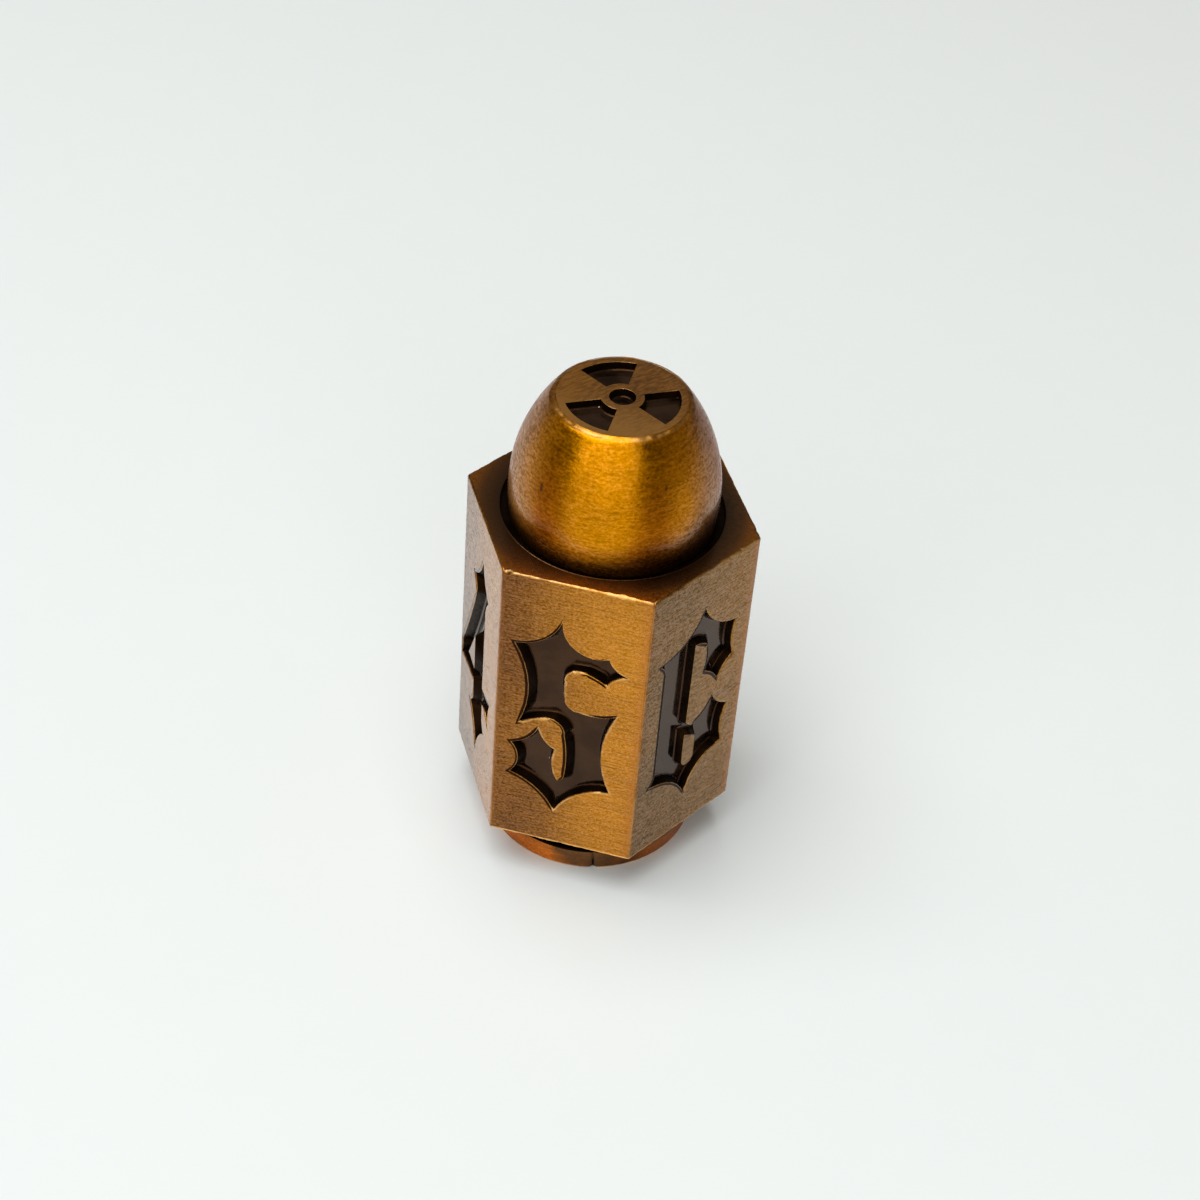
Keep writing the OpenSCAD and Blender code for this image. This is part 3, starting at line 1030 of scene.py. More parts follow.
def turned_rim(spot, colours):
    """Turned metal of the rim: orange, with patina blotches and with painted shade under the barrel, at the
    front and in the groove.
    """
    grain = place_group(brushed_grain, spot)
    cloud = place_group(patina_clouds, spot, per_metre=260.0)
    turn = turn_of(spot)
    starts, full, fades, ends = RIM_SHADE_TURNS
    # Painted shade: darker from the front towards the right and under the barrel, mixed with blotches of
    # patina
    shade_and_patina = turn.eased(starts, full) * turn.eased(ends, fades)
    shade_and_patina = shade_and_patina + parts_of(spot)[2].eased(RIM_DARK_START, RIM_DARK_FULL, high=0.5)
    shade_and_patina = (shade_and_patina + cloud["Mask"].eased(*RIM_BLOTCHES)).clamped()
    metal = shade_and_patina.blend(colours.rim_polish, colours.brown_patina_and_shade)
    metal = grain["Streaks"].eased(*RIM_STROKES).blend(metal, colours.orange_patina_and_shade)
    metal = wear_and_highlight_mask(spot).blend(metal, colours.bare_metal_and_highlight)
    # The sunk value turns the seam black, and the rim's top and groove black as painted shade
    sunk = surface_value(spot.tree, "sunk").eased(*SEAM_LEVELS)
    return {
        **brushed_round(spot, 0.85), "Base Color": sunk.blend(metal, colours.enamel),
        "Roughness": grain["Streaks"].between(0.34, 0.42), "Normal": bumped(grain["Height"], depth=2e-5),
        "Coat Weight": sunk.between(0.6, 0.0), "Coat IOR": 1.12}


# Which way the tip was brushed, and how its metal clears towards the left and is painted lighter towards the
# front, in metres
TIP_BRUSH_TURN = math.radians(-50)
TIP_FRONT_START, TIP_FRONT_FULL = 0.5 * MM, -3.0 * MM
TIP_LEFT_FULL = -3.5 * MM
# Shares of the front's painted reflection and the blotches in the cleared metal, and of the front's painted
# highlight in the rubbed metal
TIP_FRONT_LIGHT, TIP_BLOTCH_SHARE, TIP_FRONT_HIGHLIGHT = 0.5, 0.3, 0.3
# Ramps of the strokes and of the sunk value, and how rubbed the flat and its edge are
TIP_CLEARED, TIP_GLOSS, TIP_SOOT = (0.35, 0.65, -0.05, 0.6), (0.3, 0.7, 0.55, 1.15), (0.001, 0.008)
TIP_RUBBED = (0.08, 0.96)


def tip_metal(spot, colours):
    """Metal of the tip's flat, with fine slanting grain, sooty lips round its figure and painted reflection
    that lightens its front.
    """
    cloud = place_group(patina_clouds, spot, per_metre=420.0)
    turned = {"Vector": spot, "Angle": TIP_BRUSH_TURN}
    along = Value(put(spot.tree, "ShaderNodeVectorRotate", turned, rotation_type="Z_AXIS").outputs[0])
    stroke = noise_of(stretched(along, *TIP_STROKES), detail=2.0)
    x, y, _ = parts_of(spot)
    # Painted reflection: the front of the tip is lighter and barer
    front = y.eased(TIP_FRONT_START, TIP_FRONT_FULL)
    left = x.eased(0.0, TIP_LEFT_FULL, high=0.3)
    cleared = front * TIP_FRONT_LIGHT + cloud["Mask"] * TIP_BLOTCH_SHARE + left
    cleared = (cleared + stroke.eased(*TIP_CLEARED)).clamped()
    metal = cleared.blend(colours.barrel_patina, colours.barrel_polish)
    rubbed = (front * TIP_FRONT_HIGHLIGHT + wear_and_highlight_mask(spot).between(*TIP_RUBBED)).clamped()
    metal = rubbed.blend(metal, colours.bare_metal_and_highlight)
    soot = surface_value(spot.tree, "sunk").eased(*TIP_SOOT)
    gloss = stroke.eased(*TIP_GLOSS)
    return {
        "Base Color": soot.blend(metal, colours.enamel), "Metallic": 1.0, "Roughness": 0.36,
        "Normal": bumped(stroke, depth=5e-6), "Coat Weight": (gloss * soot.rest()).clamped(),
        "Coat Roughness": 0.2, "Coat IOR": 1.66}


# Tones of the blotches in the enamel and the soot, and of the floor's fibres, next to their own colours
ENAMEL_DEEP, ENAMEL_PALE, SOOT_DEEP, FIBRE_DEEP = 0.1, 3.5, 0.3, 0.985


def dark_enamel(spot, colours):
    """Glossy dark enamel with a few pale specks."""
    cloud = place_group(patina_clouds, spot, per_metre=500.0)["Mask"]
    speck = place_group(fine_specks, spot, per_metre=850.0, share=0.14, size=0.036)["Mask"]
    tone = cloud.blend(tinted(colours.enamel, ENAMEL_DEEP), tinted(colours.enamel, ENAMEL_PALE))
    return {
        "Base Color": speck.blend(tone, colours.speck), "Roughness": cloud.between(0.07, 0.13),
        "Normal": bumped(cloud, depth=3e-6), "IOR": 1.55, "Specular Tint": colours.enamel_gloss}


def soot_walls(spot, colours):
    """Sooty black walls of the pockets, a little browner in blotches."""
    cloud = place_group(patina_clouds, spot, per_metre=900.0)
    return {
        "Base Color": cloud["Mask"].blend(tinted(colours.enamel, SOOT_DEEP), colours.enamel),
        "Roughness": cloud["Grain"].between(0.35, 0.55), "IOR": 1.25, "Specular Tint": colours.enamel_gloss}


# From where the floor is painted darker in reflections towards the studio's dim quarters, from the axis in
# metres
DIM_FLOOR_START, DIM_FLOOR_FULL = 12.0 * MM, 50.0 * MM


def pale_floor(spot, colours):
    """Smooth pale paper, with painted reflection: in metal it darkens towards the studio's dim quarters."""
    fibre = noise_of(spot, FIBRES, detail=4.0, roughness=0.5)
    paper = fibre.blend(tinted(colours.floor, FIBRE_DEEP), colours.floor)
    glossy = Value(put(spot.tree, "ShaderNodeLightPath").outputs["Is Glossy Ray"])
    far = spot.vector("LENGTH").eased(DIM_FLOOR_START, DIM_FLOOR_FULL)
    # Painted reflection: seen in metal, the paper away from the die turns to the dusk colour towards the dim
    # quarters
    dim = dark_quarters(spot) * far * glossy
    return {"Base Color": dim.blend(paper, colours.dusk), "Roughness": 0.7, "Specular IOR Level": 0.2}


# Pieces


# Steps along the flats and rounds, the axes, and the finishes of the barrel and the nose by number
FLAT_STEPS = 64
CORNER_STEPS = 5
PER_SIDE = FLAT_STEPS + CORNER_STEPS
STATIONS = [(side, step) for side in range(SIDES) for step in range(PER_SIDE)]
END_STEPS = 4
UPRIGHT_STEPS = 44
OGIVE_STEPS = 40
TIP_STEPS = 6
RIM_STEPS = 4
X_AXIS, Y_AXIS, Z_AXIS = TIP_AXES = np.eye(3)
BARREL_SIDES, BARREL_ENDS, POCKET_WALLS = 0, 1, 2
NOSE_SIDE, NOSE_TIP, TIP_WALLS = 0, 1, 2


def numeral_on(side):
    """The enamel of the numeral on a side. Side 0 holds the front numeral."""
    return NUMERALS[(FRONT_NUMERAL - 1 + side) % SIDES]


def side_axes(side):
    """Right, up and outward directions of one side. Side 0 faces -Y."""
    a = side * SIDE_TURN
    right = np.array([math.cos(a), math.sin(a), 0.0])
    out = np.array([math.sin(a), -math.cos(a), 0.0])
    return right, Z_AXIS, out


def hex_place(side, step, inset, corner, z):
    """A point of the barrel's outline. step counts the flat's points, then those of the corner after it."""
    right, _, out = side_axes(side)
    apothem = APOTHEM - inset
    round_r = max(corner - inset, LEAST_ROOM)
    half = (apothem - round_r) * math.tan(HALF_TURN)
    if step <= FLAT_STEPS:
        flat = out * apothem + right * half * (2 * step / FLAT_STEPS - 1)
        return (flat[0], flat[1], z)
    turn = side * SIDE_TURN + SIDE_TURN * (step - FLAT_STEPS) / CORNER_STEPS
    pivot = out * (apothem - round_r) + right * half
    return (pivot[0] + round_r * math.sin(turn), pivot[1] - round_r * math.cos(turn), z)


# Wear of the barrel's edges. A wave is its size in millimetres and its seed, the rest lengths and shares.
UPRIGHT_WAVE = (2.2, 3.7)
UPRIGHT_WOBBLE = 0.5
UPRIGHT_RUB = 0.35
LONG_WAVE, LONG_SHARE = (1.3, 0.4), 0.8
FINE_WAVE, FINE_SHARE = (0.32, 5.1), 0.9
NICK_WAVE, NICK_START, NICK_DEPTH = (0.5, 8.3), 0.4, 0.2
SIDES_APART = 9.0
ENDS_APART = 40.0
KNOCK_X, KNOCK_R, KNOCK_DEPTH, KNOCK_SOOT = -3.93, 0.15, 0.16, 0.1
# Painted highlight: the end edges' worn colour is brightest towards this turn and dims round the die
END_HIGHLIGHT_TURN = math.radians(25)
END_HIGHLIGHT, LEAST_END_HIGHLIGHT, MOST_END_HIGHLIGHT = 1.1, 0.1, 0.85
# Painted shade: how bright the lips' worn colour stays on the side to the right of the front
RIGHT_LIP_LIGHT = 0.35
# Least room between a lip and the round of an upright edge
FLAT_MARGIN = 0.01


def corner_r(sizes, side, z):
    """Radius of an upright edge at a height."""
    wave = wavering((side * SIDES_APART, 0, z), *UPRIGHT_WAVE)
    return sizes.upright_round * (1 + UPRIGHT_WOBBLE * sizes.edge_wobble * wave)


def knock(x, y, top):
    """The knock at the left end of the front side's top edge."""
    return math.exp(-((x - KNOCK_X) ** 2 + (y + APOTHEM) ** 2) / KNOCK_R ** 2) if top else 0.0


def end_r(sizes, side, step, top):
    """Radius of the round at one end of the barrel, with its nicks and the knock."""
    x, y, _ = hex_place(side, step, 0.0, sizes.upright_round, 0.0)
    place = (x, y, ENDS_APART * top)
    uneven = LONG_SHARE * wavering(place, *LONG_WAVE) + FINE_SHARE * wavering(place, *FINE_WAVE)
    nick = max(wavering(place, *NICK_WAVE) - NICK_START, 0.0)
    worn = NICK_DEPTH * nick + KNOCK_DEPTH * knock(x, y, top)
    return sizes.end_round * (1 + sizes.edge_wobble * uneven) + worn


def end_rows(shell, sizes, top):
    """Rows of the round at one end, from the side to the end's flat."""
    facing = [side + max(step - FLAT_STEPS, 0) / CORNER_STEPS for side, step in STATIONS]
    # Painted highlight: how bright the end edges are depends on which way they face
    rubbed = np.clip(END_HIGHLIGHT * np.cos(np.array(facing) * SIDE_TURN - END_HIGHLIGHT_TURN), LEAST_END_HIGHLIGHT, MOST_END_HIGHLIGHT)
    radii = [end_r(sizes, side, step, top) for side, step in STATIONS]
    rows = []
    for t in quarter(END_STEPS):
        places = []
        for (side, step), r in zip(STATIONS, radii):
            rise = r * (1 - math.sin(t))
            z = BARREL_TOP - rise if top else BARREL_FOOT + rise
            places.append(hex_place(side, step, r * (1 - math.cos(t)), corner_r(sizes, side, z), z))
        knocked = np.array([knock(x, y, top) for x, y, _ in places])
        worn = rubbed * (1 - knocked) * math.sin(2 * t) ** 0.5
        rows.append(shell.add(places, worn, KNOCK_SOOT * knocked * (t > 0)))
    return rows


def upright_edges(shell, sizes, foot_row, top_row):
    """Rounded upright edges. Returns their columns of points from the foot to the top, by side and step."""
    columns = {}
    for side in range(SIDES):
        for step in range(FLAT_STEPS, PER_SIDE + 1):
            at = (side * PER_SIDE + step) % len(STATIONS)
            low, high = foot_row[at], top_row[at]
            z0, z1 = shell.points[low][2], shell.points[high][2]
            middle = []
            for i in range(1, UPRIGHT_STEPS):
                z = z0 + (z1 - z0) * i / UPRIGHT_STEPS
                middle.append(hex_place(side, step, 0.0, corner_r(sizes, side, z), z))
            bright = max(math.sin(math.pi * (step - FLAT_STEPS) / CORNER_STEPS), 0.0)
            columns[side, step] = [low, *shell.add(middle, UPRIGHT_RUB * bright), high]
        for step in range(FLAT_STEPS, PER_SIDE):
            shell.bands([columns[side, step + 1], columns[side, step]], BARREL_SIDES, closed=False)
    return columns


def barrel_side(shell, sizes, side, border):
    """One flat of the barrel with its sunk numeral, inside a border of numbered points."""
    axes = right, up, _ = side_axes(side)
    widest_round = sizes.upright_round * (1 + UPRIGHT_WOBBLE * sizes.edge_wobble)
    half_width = (APOTHEM - widest_round) * math.tan(HALF_TURN) - FLAT_MARGIN
    # Painted shade: dimmer lips on the side to the right of the front
    rub = RIGHT_LIP_LIGHT if side == 1 else 1.0
    tops = sink(shell, numeral_on(side), axes, APOTHEM, sizes.lip_round, sizes.wall_lean,
                (BARREL_SIDES, POCKET_WALLS), rub, sizes.crease_width, half_width)
    shell.fill([border] + tops, right, up, BARREL_SIDES)


def barrel_shell(sizes):
    """The barrel with worn edges, sunk numerals, seat and sockets."""
    shell = Shell()
    top_rows = end_rows(shell, sizes, True)
    foot_rows = end_rows(shell, sizes, False)
    shell.bands(top_rows, BARREL_SIDES)
    shell.bands(foot_rows[::-1], BARREL_SIDES)
    columns = upright_edges(shell, sizes, foot_rows[0], top_rows[0])
    for side in range(SIDES):
        on_flat = slice(side * PER_SIDE, side * PER_SIDE + FLAT_STEPS + 1)
        right_edge = columns[side, FLAT_STEPS][1:-1]
        left_edge = columns[(side - 1) % SIDES, PER_SIDE][1:-1]
        border = foot_rows[0][on_flat] + right_edge + top_rows[0][on_flat][::-1] + left_edge[::-1]
        barrel_side(shell, sizes, side, border)
    top_end(shell, top_rows[-1], sizes)
    foot_end(shell, foot_rows[-1], sizes)
    return shell


# The seat's lip: shares of its radius, and where and how widely its painted highlight glints, from the X axis
SEAT_SWELL, SEAT_DROP = 0.12, 0.4
GLINT, GLINT_TURN, GLINT_WIDTH = 0.9, math.radians(246), math.radians(17)
# The sunk value in the sockets and in the rim's groove, where it also paints the rim's top and groove black
# as shade
DEEP = 1.0


def top_end(shell, edge, sizes):
    """The flat at the top, with the nose's seat and the socket under it."""
    glint = GLINT * np.exp(-((ring_turns() - GLINT_TURN) / GLINT_WIDTH) ** 2)
    floor_z = BARREL_TOP - sizes.seat_depth
    socket_end = NOSE_FOOT - sizes.socket_room
    lip = sizes.lip_round
    rows = []
    for t in np.linspace(0, 1, LIP_STEPS + 1):
        swell = math.sin(math.pi * t)
        z = BARREL_TOP + SEAT_SWELL * lip * swell - SEAT_DROP * lip * t ** 3
        # Painted highlight: the lip's worn value, so its bright colour, is given only round the glint
        rows.append(shell.ring(sizes.seat_r + lip * (1 - t), z, worn=glint * swell ** 0.5))
    walls = [rows[-1]]
    walls.append(shell.ring(sizes.seat_r, floor_z, sunk=sizes.seat_depth))
    walls.append(shell.ring(sizes.socket_r, floor_z, sunk=sizes.seat_depth))
    walls.append(shell.ring(sizes.socket_r, socket_end, sunk=DEEP))
    shell.bands(rows, BARREL_ENDS)
    shell.bands(walls, POCKET_WALLS)
    shell.cap(walls[-1], (0, 0, socket_end), BARREL_ENDS)
    shell.fill([edge, rows[0]], X_AXIS, Y_AXIS, BARREL_ENDS)


def foot_end(shell, edge, sizes):
    """The flat at the foot, with its socket."""
    socket_end = RIM_TOP + sizes.socket_room
    mouth = shell.ring(sizes.socket_r, BARREL_FOOT)
    end = shell.ring(sizes.socket_r, socket_end, sunk=DEEP)
    shell.bands([end, mouth], BARREL_ENDS)
    shell.cap(end[::-1], (0, 0, socket_end), BARREL_ENDS)
    shell.fill([edge, mouth], X_AXIS, -Y_AXIS, BARREL_ENDS)


# Wear of the tip's edge, rubbed widest at a turn from the X axis. Its figure is finer than the numerals.
TIP_RUB_TURN = math.radians(-115)
TIP_RUB_WIDTH = 0.6
TIP_RUB_DEPTH = 0.05
TIP_WEAR_DEPTH = 0.04
TIP_WEAR_LEVEL = 0.5
TIP_LONG_WAVE = (0.9, 2.2)
TIP_FINE_WAVE, TIP_FINE_SHARE = (0.3, 6.6), 0.9
TIP_EDGE_BRIGHT = 0.75
TIP_LIP_RUB = 0.1
TIP_FINENESS = 0.3


def worn_down(ring, bulge):
    """A ring of the tip's round with its wear taken off, most where bulge is 1."""
    for p in ring:
        off = math.atan2(p[1], p[0]) - TIP_RUB_TURN
        rough = wavering(p, *TIP_LONG_WAVE) + TIP_FINE_SHARE * wavering(p, *TIP_FINE_WAVE)
        dip = TIP_WEAR_DEPTH * bulge * max(TIP_WEAR_LEVEL + rough, 0.0)
        dip += TIP_RUB_DEPTH * bulge * math.exp(-(off / TIP_RUB_WIDTH) ** 2)
        p[:2] *= 1 - dip / np.hypot(p[0], p[1])
        p[2] -= dip
    return ring


def nose_rows(shell, sizes):
    """Rings of the nose from the tenon's end to the tip's flat: tenon, one long arc and the tip's round."""
    seat_z = BARREL_TOP - sizes.seat_depth
    belly = BARREL_TOP + sizes.belly_z
    rise = TIP_Z - belly
    arc_r = (sizes.nose_taper ** 2 + rise ** 2) / (2 * sizes.nose_taper)
    arc_x = NOSE_R - arc_r
    tip_r = sizes.tip_round
    round_z = TIP_Z - tip_r
    round_x = arc_x + math.sqrt((arc_r - tip_r) ** 2 - (round_z - belly) ** 2)
    lean = math.atan2(round_z - belly, round_x - arc_x)
    foot = math.asin((seat_z - belly) / arc_r)

    rows = [shell.ring(sizes.tenon_r, NOSE_FOOT), shell.ring(sizes.tenon_r, seat_z)]
    for i in range(OGIVE_STEPS + 1):
        t = foot + (lean - foot) * i / OGIVE_STEPS
        rows.append(shell.ring(arc_x + arc_r * math.cos(t), belly + arc_r * math.sin(t)))
    for i in range(1, TIP_STEPS + 1):
        t = lean + (math.pi / 2 - lean) * i / TIP_STEPS
        bulge = math.sin(math.pi * i / TIP_STEPS)
        ring = spin(round_x + tip_r * math.cos(t), round_z + tip_r * math.sin(t))
        rows.append(shell.add(worn_down(ring, bulge), worn=TIP_EDGE_BRIGHT * bulge))
    return rows


def nose_shell(sizes):
    """The nose with its tenon, and the three-blade figure sunk in its tip."""
    shell = Shell()
    rows = nose_rows(shell, sizes)
    shell.cap(rows[0][::-1], (0, 0, NOSE_FOOT), NOSE_SIDE)
    shell.bands(rows, NOSE_SIDE)
    lip, lean = sizes.lip_round * TIP_FINENESS, sizes.wall_lean * TIP_FINENESS
    tops = []
    for node in TREFOIL:
        tops += sink(shell, node, TIP_AXES, TIP_Z, lip, lean, (NOSE_TIP, TIP_WALLS), TIP_LIP_RUB)
    shell.fill([rows[-1]] + tops, X_AXIS, Y_AXIS, NOSE_TIP)
    return shell


# The casting seam: its reach in seam widths, and its flare, more at the rim's foot than at its top
SEAM_REACH = 3
SEAM_POINTS = 19
SEAM_CLEAR = 1.2
SEAM_NARROW = 2
SEAM_AT_TOP = 0.7
SEAM_FLARE = 1.1
GROOVE_EDGE = 0.1


def rim_profile(sizes):
    """Radius, height and wear of each ring of the rim, from the underside's middle to the tenon's end."""
    neck_r = RIM_R - sizes.groove_depth
    r, fillet = sizes.rim_round, sizes.groove_round
    ring_in = sizes.ring_r - sizes.ring_w
    profile = [(ring_in, 0, 0), (ring_in, sizes.ring_depth, 0)]
    profile += [(sizes.ring_r, sizes.ring_depth, 0), (sizes.ring_r, 0, 0)]
    turns = quarter(RIM_STEPS)
    profile += [(RIM_R - r + r * math.sin(t), r - r * math.cos(t), math.sin(2 * t)) for t in turns]
    profile += [(RIM_R - r + r * math.cos(t), sizes.rim_t - r + r * math.sin(t), 0) for t in turns]
    groove_x, groove_z = neck_r + fillet, sizes.rim_t + fillet
    profile += [(groove_x - fillet * math.sin(t), groove_z - fillet * math.cos(t), 0) for t in turns]
    return profile + [(neck_r, BARREL_FOOT, 0), (sizes.tenon_r, BARREL_FOOT, 0), (sizes.tenon_r, RIM_TOP, 0)]


def rim_shell(sizes):
    """The rim: rounded edges, groove, tenon, the ring in its underside and the casting seam."""
    shell = Shell()
    near = np.linspace(-SEAM_REACH, SEAM_REACH, SEAM_POINTS) * sizes.seam_width / RIM_R
    turns = ring_turns()
    clear = np.abs(turned_from(turns, sizes.seam_angle)) > near.max() * SEAM_CLEAR
    turns = np.sort(np.concatenate([turns[clear], (near + sizes.seam_angle) % FULL_TURN]))
    off = turned_from(turns, sizes.seam_angle) * RIM_R / sizes.seam_width
    rows = []
    for radius, z, worn in rim_profile(sizes):
        flare = SEAM_AT_TOP + SEAM_FLARE * max(1 - z / sizes.rim_t, 0) ** 2
        cut = np.zeros(len(turns))
        if radius > sizes.tenon_r and z < BARREL_FOOT:
            cut = flare * sizes.seam_depth * np.exp(-(SEAM_NARROW * off / flare) ** 2)
        r = radius - cut
        ring = np.stack([r * np.cos(turns), r * np.sin(turns), np.full(len(turns), z)], 1)
        # Painted shade: rings from just under the rim's top into the groove are marked deep, which turns them
        # black
        in_groove = z > sizes.rim_t - GROOVE_EDGE
        rows.append(shell.add(ring, max(worn, 0.0) ** 0.5, DEEP if in_groove else cut))
    shell.bands(rows)
    shell.cap(rows[0][::-1], (0, 0, 0))
    shell.cap(rows[-1], (0, 0, RIM_TOP))
    return shell


# Enamel: lengths in millimetres, and the rest as shares of the pitch or of the meniscus
ENAMEL_OVERLAP = 0.004
ENAMEL_EDGE_PITCH = 0.06
ENAMEL_PITCH = 0.16
ENAMEL_STAGGER = 0.3
MENISCUS_ROWS = (0.12, 0.35, 0.7, 1.15, 1.7)
MENISCUS_SLACK = 0.12
MENISCUS_END = 1.9
MENISCUS_FALL = 2.2


def enamel_grid(loops, meniscus):
    """Places inside a pool: a staggered grid in the middle and closer rows along its edges."""
    border = np.concatenate(loops)
    across, along = (np.arange(low, high, ENAMEL_PITCH) for low, high in zip(border.min(0), border.max(0)))
    grid = np.stack(np.meshgrid(across, along), -1).reshape(-1, 2)
    grid[::2, 1] += ENAMEL_STAGGER * ENAMEL_PITCH
    extra = [grid[distance_to(grid, loops) > MENISCUS_END * meniscus]]
    for share in MENISCUS_ROWS:
        row = np.concatenate([moved_out(loop, -share * meniscus, 1.0) for loop in loops])
        extra.append(row[np.abs(distance_to(row, loops) - share * meniscus) < MENISCUS_SLACK * meniscus])
    extra = np.concatenate(extra)
    return extra[inside(extra, [tuple(p) for p in border], loops_of(loops))]


def enamel_shell(node, axes, meniscus, lean):
    """One pool of enamel: level in the middle, creeping up the walls of its pocket."""
    right, up, out = axes
    loops, height, floor = outlines(node, right, up, out)
    loops = [moved_out(loop, ENAMEL_OVERLAP) for loop in leaned_in(loops, lean)]
    loops = [even_steps(loop, ENAMEL_EDGE_PITCH) for loop in loops]
    border = np.concatenate(loops)
    edges = loops_of(loops)
    extra = enamel_grid(loops, meniscus)
    every = np.concatenate([border, extra])
    at = height + meniscus * np.exp(-MENISCUS_FALL * distance_to(every, loops) / meniscus)
    shell = Shell()
    top = shell.add([right * p[0] + up * p[1] + out * h for p, h in zip(every, at)])
    for a, b, c in triangles(border, edges, extra):
        shell.face((top[a], top[b], top[c]))
    base = shell.add([right * p[0] + up * p[1] + out * floor for p in border])
    for a, b in edges:
        shell.face((base[a], base[b], top[b], top[a]))
    for a, b, c in triangles(border, edges):
        shell.face((base[c], base[b], base[a]))
    return shell


# Operators


class DieOperator:
    """What the operators share: the settings of the scene."""

    bl_options = {"REGISTER", "UNDO"}

    @property
    def sizes(self):
        return bpy.context.scene.barrel_die_sizes

    @property
    def colours(self):
        return bpy.context.scene.barrel_die_colours

    @property
    def stage(self):
        return bpy.context.scene.barrel_die_stage

    def finishes(self, *makers):
        return [finish(maker, self.colours) for maker in makers]


class BARREL_DIE_OT_barrel(DieOperator, bpy.types.Operator):
    """Makes the hexagonal barrel with its sunk numerals"""

    bl_idname = "barrel_die.barrel"
    bl_label = "Make Barrel"

    def execute(self, context):
        materials = self.finishes(brushed_barrel, dark_shoulder, soot_walls)
        barrel_shell(self.sizes).build("barrel_body", materials, "barrel_metal", "hex_barrel")
        return {"FINISHED"}


class BARREL_DIE_OT_nose(DieOperator, bpy.types.Operator):
    """Makes the flat-tipped nose with the figure in its tip"""

    bl_idname = "barrel_die.nose"
    bl_label = "Make Nose"

    def execute(self, context):
        materials = self.finishes(turned_nose, tip_metal, soot_walls)
        nose_shell(self.sizes).build("nose_body", materials, "nose_metal", "bullet_nose")
        return {"FINISHED"}


class BARREL_DIE_OT_rim(DieOperator, bpy.types.Operator):
    """Makes the grooved rim under the barrel"""

    bl_idname = "barrel_die.rim"
    bl_label = "Make Rim"

    def execute(self, context):
        rim_shell(self.sizes).build("rim_body", self.finishes(turned_rim), "rim_metal", "rim_base")
        return {"FINISHED"}


class BARREL_DIE_OT_enamels(DieOperator, bpy.types.Operator):
    """Pours the dark enamel into the numerals and the tip's figure"""

    bl_idname = "barrel_die.enamels"
    bl_label = "Pour Enamels"

    def execute(self, context):
        lean = self.sizes.wall_lean
        pools = [(numeral_on(side), side_axes(side), lean) for side in range(SIDES)]
        pools += [(node, TIP_AXES, lean * TIP_FINENESS) for node in TREFOIL]
        for node, axes, wall_lean in pools:
            shell = enamel_shell(node, axes, self.sizes.meniscus, wall_lean)
            shell.build(node.replace("enamel", "pool"), self.finishes(dark_enamel), "enamel", node)
        return {"FINISHED"}


# Places and sizes of the light panels, in metres
TOP_PANEL = {"size": (0.45, 0.45), "place": (-0.09, -0.06, 0.5), "target": (0, 0, 0.015)}
FRONT_PANEL = {"size": (0.76, 0.55), "place": (0.0, -0.45, 0.28), "target": (0, 0, 0.03)}
FRONT_DIFFUSE = 0.3
NEAREST_SEEN = 0.005


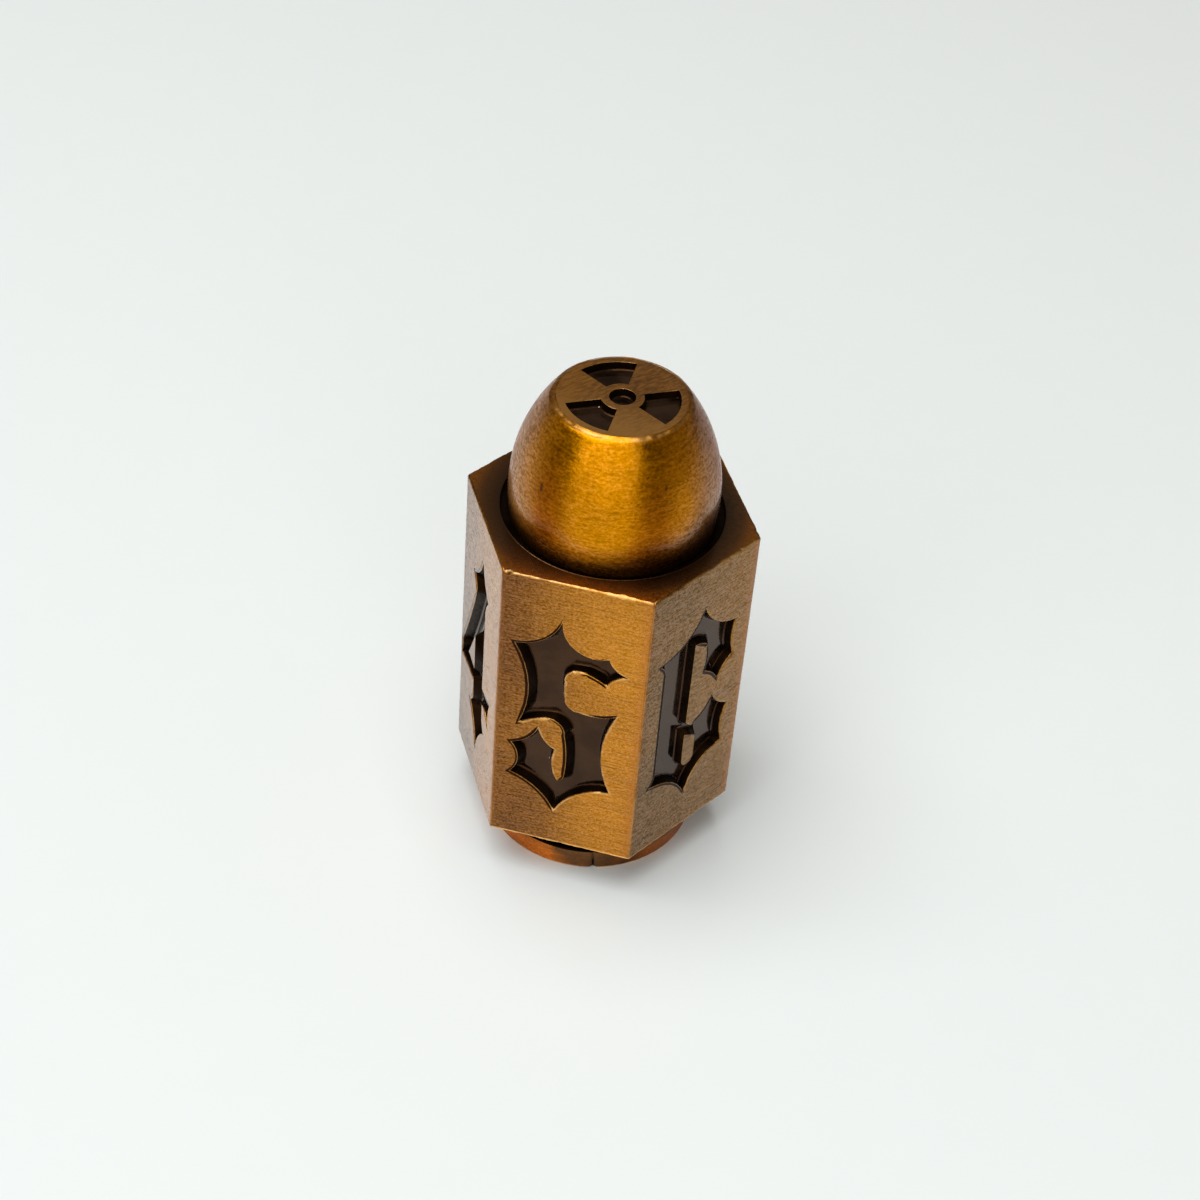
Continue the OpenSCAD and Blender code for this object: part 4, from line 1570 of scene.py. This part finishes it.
class BARREL_DIE_OT_stage(DieOperator, bpy.types.Operator):
    """Sets up the pale floor, the soft lights and the camera"""

    bl_idname = "barrel_die.stage"
    bl_label = "Set Up Stage"

    def execute(self, context):
        scene = bpy.context.scene
        scene.view_settings.view_transform = "Standard"
        self.floor()
        scene.world = self.room()
        self.panel("top_panel", self.stage.top_panel, **TOP_PANEL)
        front = self.panel("front_panel", self.stage.front_panel, **FRONT_PANEL)
        front.diffuse_factor = FRONT_DIFFUSE
        scene.camera = self.camera()
        return {"FINISHED"}

    def placed(self, name, data):
        """A new object in the scene."""
        item = bpy.data.objects.new(name, data)
        bpy.context.scene.collection.objects.link(item)
        return item

    def floor(self):
        half = self.stage.floor_size / 2
        mesh = bpy.data.meshes.new("floor")
        corners = [(-half, -half, 0), (half, -half, 0), (half, half, 0), (-half, half, 0)]
        mesh.from_pydata(corners, [], [range(len(corners))])
        mesh.materials.append(*self.finishes(pale_floor))
        floor = self.placed("floor", mesh)

    def room(self):
        """Even light from all round, less in the dark quarters."""
        world = bpy.data.worlds.new("room")
        world.use_nodes = True
        back = world.node_tree.nodes["Background"]
        way = Value(put(world.node_tree, "ShaderNodeTexCoord").outputs["Generated"])
        join(self.colours.room, back.inputs["Color"])
        join(dark_quarters(way).between(self.stage.room, 0.0), back.inputs["Strength"])
        return world

    def panel(self, name, power, size, place, target):
        """A light panel that faces its target."""
        light = bpy.data.lights.new(name, "AREA")
        light.shape = "RECTANGLE"
        light.size, light.size_y = size
        light.energy = power
        light.color = self.colours.panels
        lamp = self.placed(name, light)
        lamp.location = place
        lamp.rotation_euler = (Vector(target) - Vector(place)).to_track_quat("-Z", "Y").to_euler()
        return light

    def camera(self):
        """The camera at its place, turned by azimuth, elevation and roll."""
        stage = self.stage
        data = bpy.data.cameras.new("camera")
        data.lens = stage.lens
        data.clip_start = NEAREST_SEEN
        camera = self.placed("camera", data)
        a, e = stage.azimuth, stage.elevation
        back = Vector((math.sin(a) * math.cos(e), -math.cos(a) * math.cos(e), math.sin(e)))
        level = (-back).cross(Vector((0, 0, 1))).normalized()
        right = Matrix.Rotation(-stage.roll, 3, back) @ level
        camera.matrix_world = Matrix((right, back.cross(right), back)).transposed().to_4x4()
        camera.location = stage.camera_at
        return camera


OPERATORS = (
    BARREL_DIE_OT_barrel, BARREL_DIE_OT_nose, BARREL_DIE_OT_rim, BARREL_DIE_OT_enamels, BARREL_DIE_OT_stage)


class BARREL_DIE_PT_panel(bpy.types.Panel):
    """Lists the die's pieces and settings"""

    bl_label = "Barrel Die"
    bl_idname = "BARREL_DIE_PT_panel"
    bl_space_type = "VIEW_3D"
    bl_region_type = "UI"
    bl_category = "Barrel Die"

    def draw(self, context):
        for operator in OPERATORS:
            self.layout.operator(operator.bl_idname)
        scene = context.scene
        for group in (scene.barrel_die_sizes, scene.barrel_die_colours, scene.barrel_die_stage):
            box = self.layout.box()
            for name in group.__annotations__:
                box.prop(group, name)


CLASSES = (DieSizes, DieColours, DieStage, *OPERATORS, BARREL_DIE_PT_panel)


def register():
    for item in CLASSES:
        bpy.utils.register_class(item)
    bpy.types.Scene.barrel_die_sizes = PointerProperty(type=DieSizes)
    bpy.types.Scene.barrel_die_colours = PointerProperty(type=DieColours)
    bpy.types.Scene.barrel_die_stage = PointerProperty(type=DieStage)


def unregister():
    del bpy.types.Scene.barrel_die_stage
    del bpy.types.Scene.barrel_die_colours
    del bpy.types.Scene.barrel_die_sizes
    for item in reversed(CLASSES):
        bpy.utils.unregister_class(item)


def main():
    register()
    bpy.ops.barrel_die.stage()
    bpy.ops.barrel_die.barrel()
    bpy.ops.barrel_die.nose()
    bpy.ops.barrel_die.rim()
    bpy.ops.barrel_die.enamels()
    bpy.context.view_layer.update()


if __name__ == "__main__":
    main()
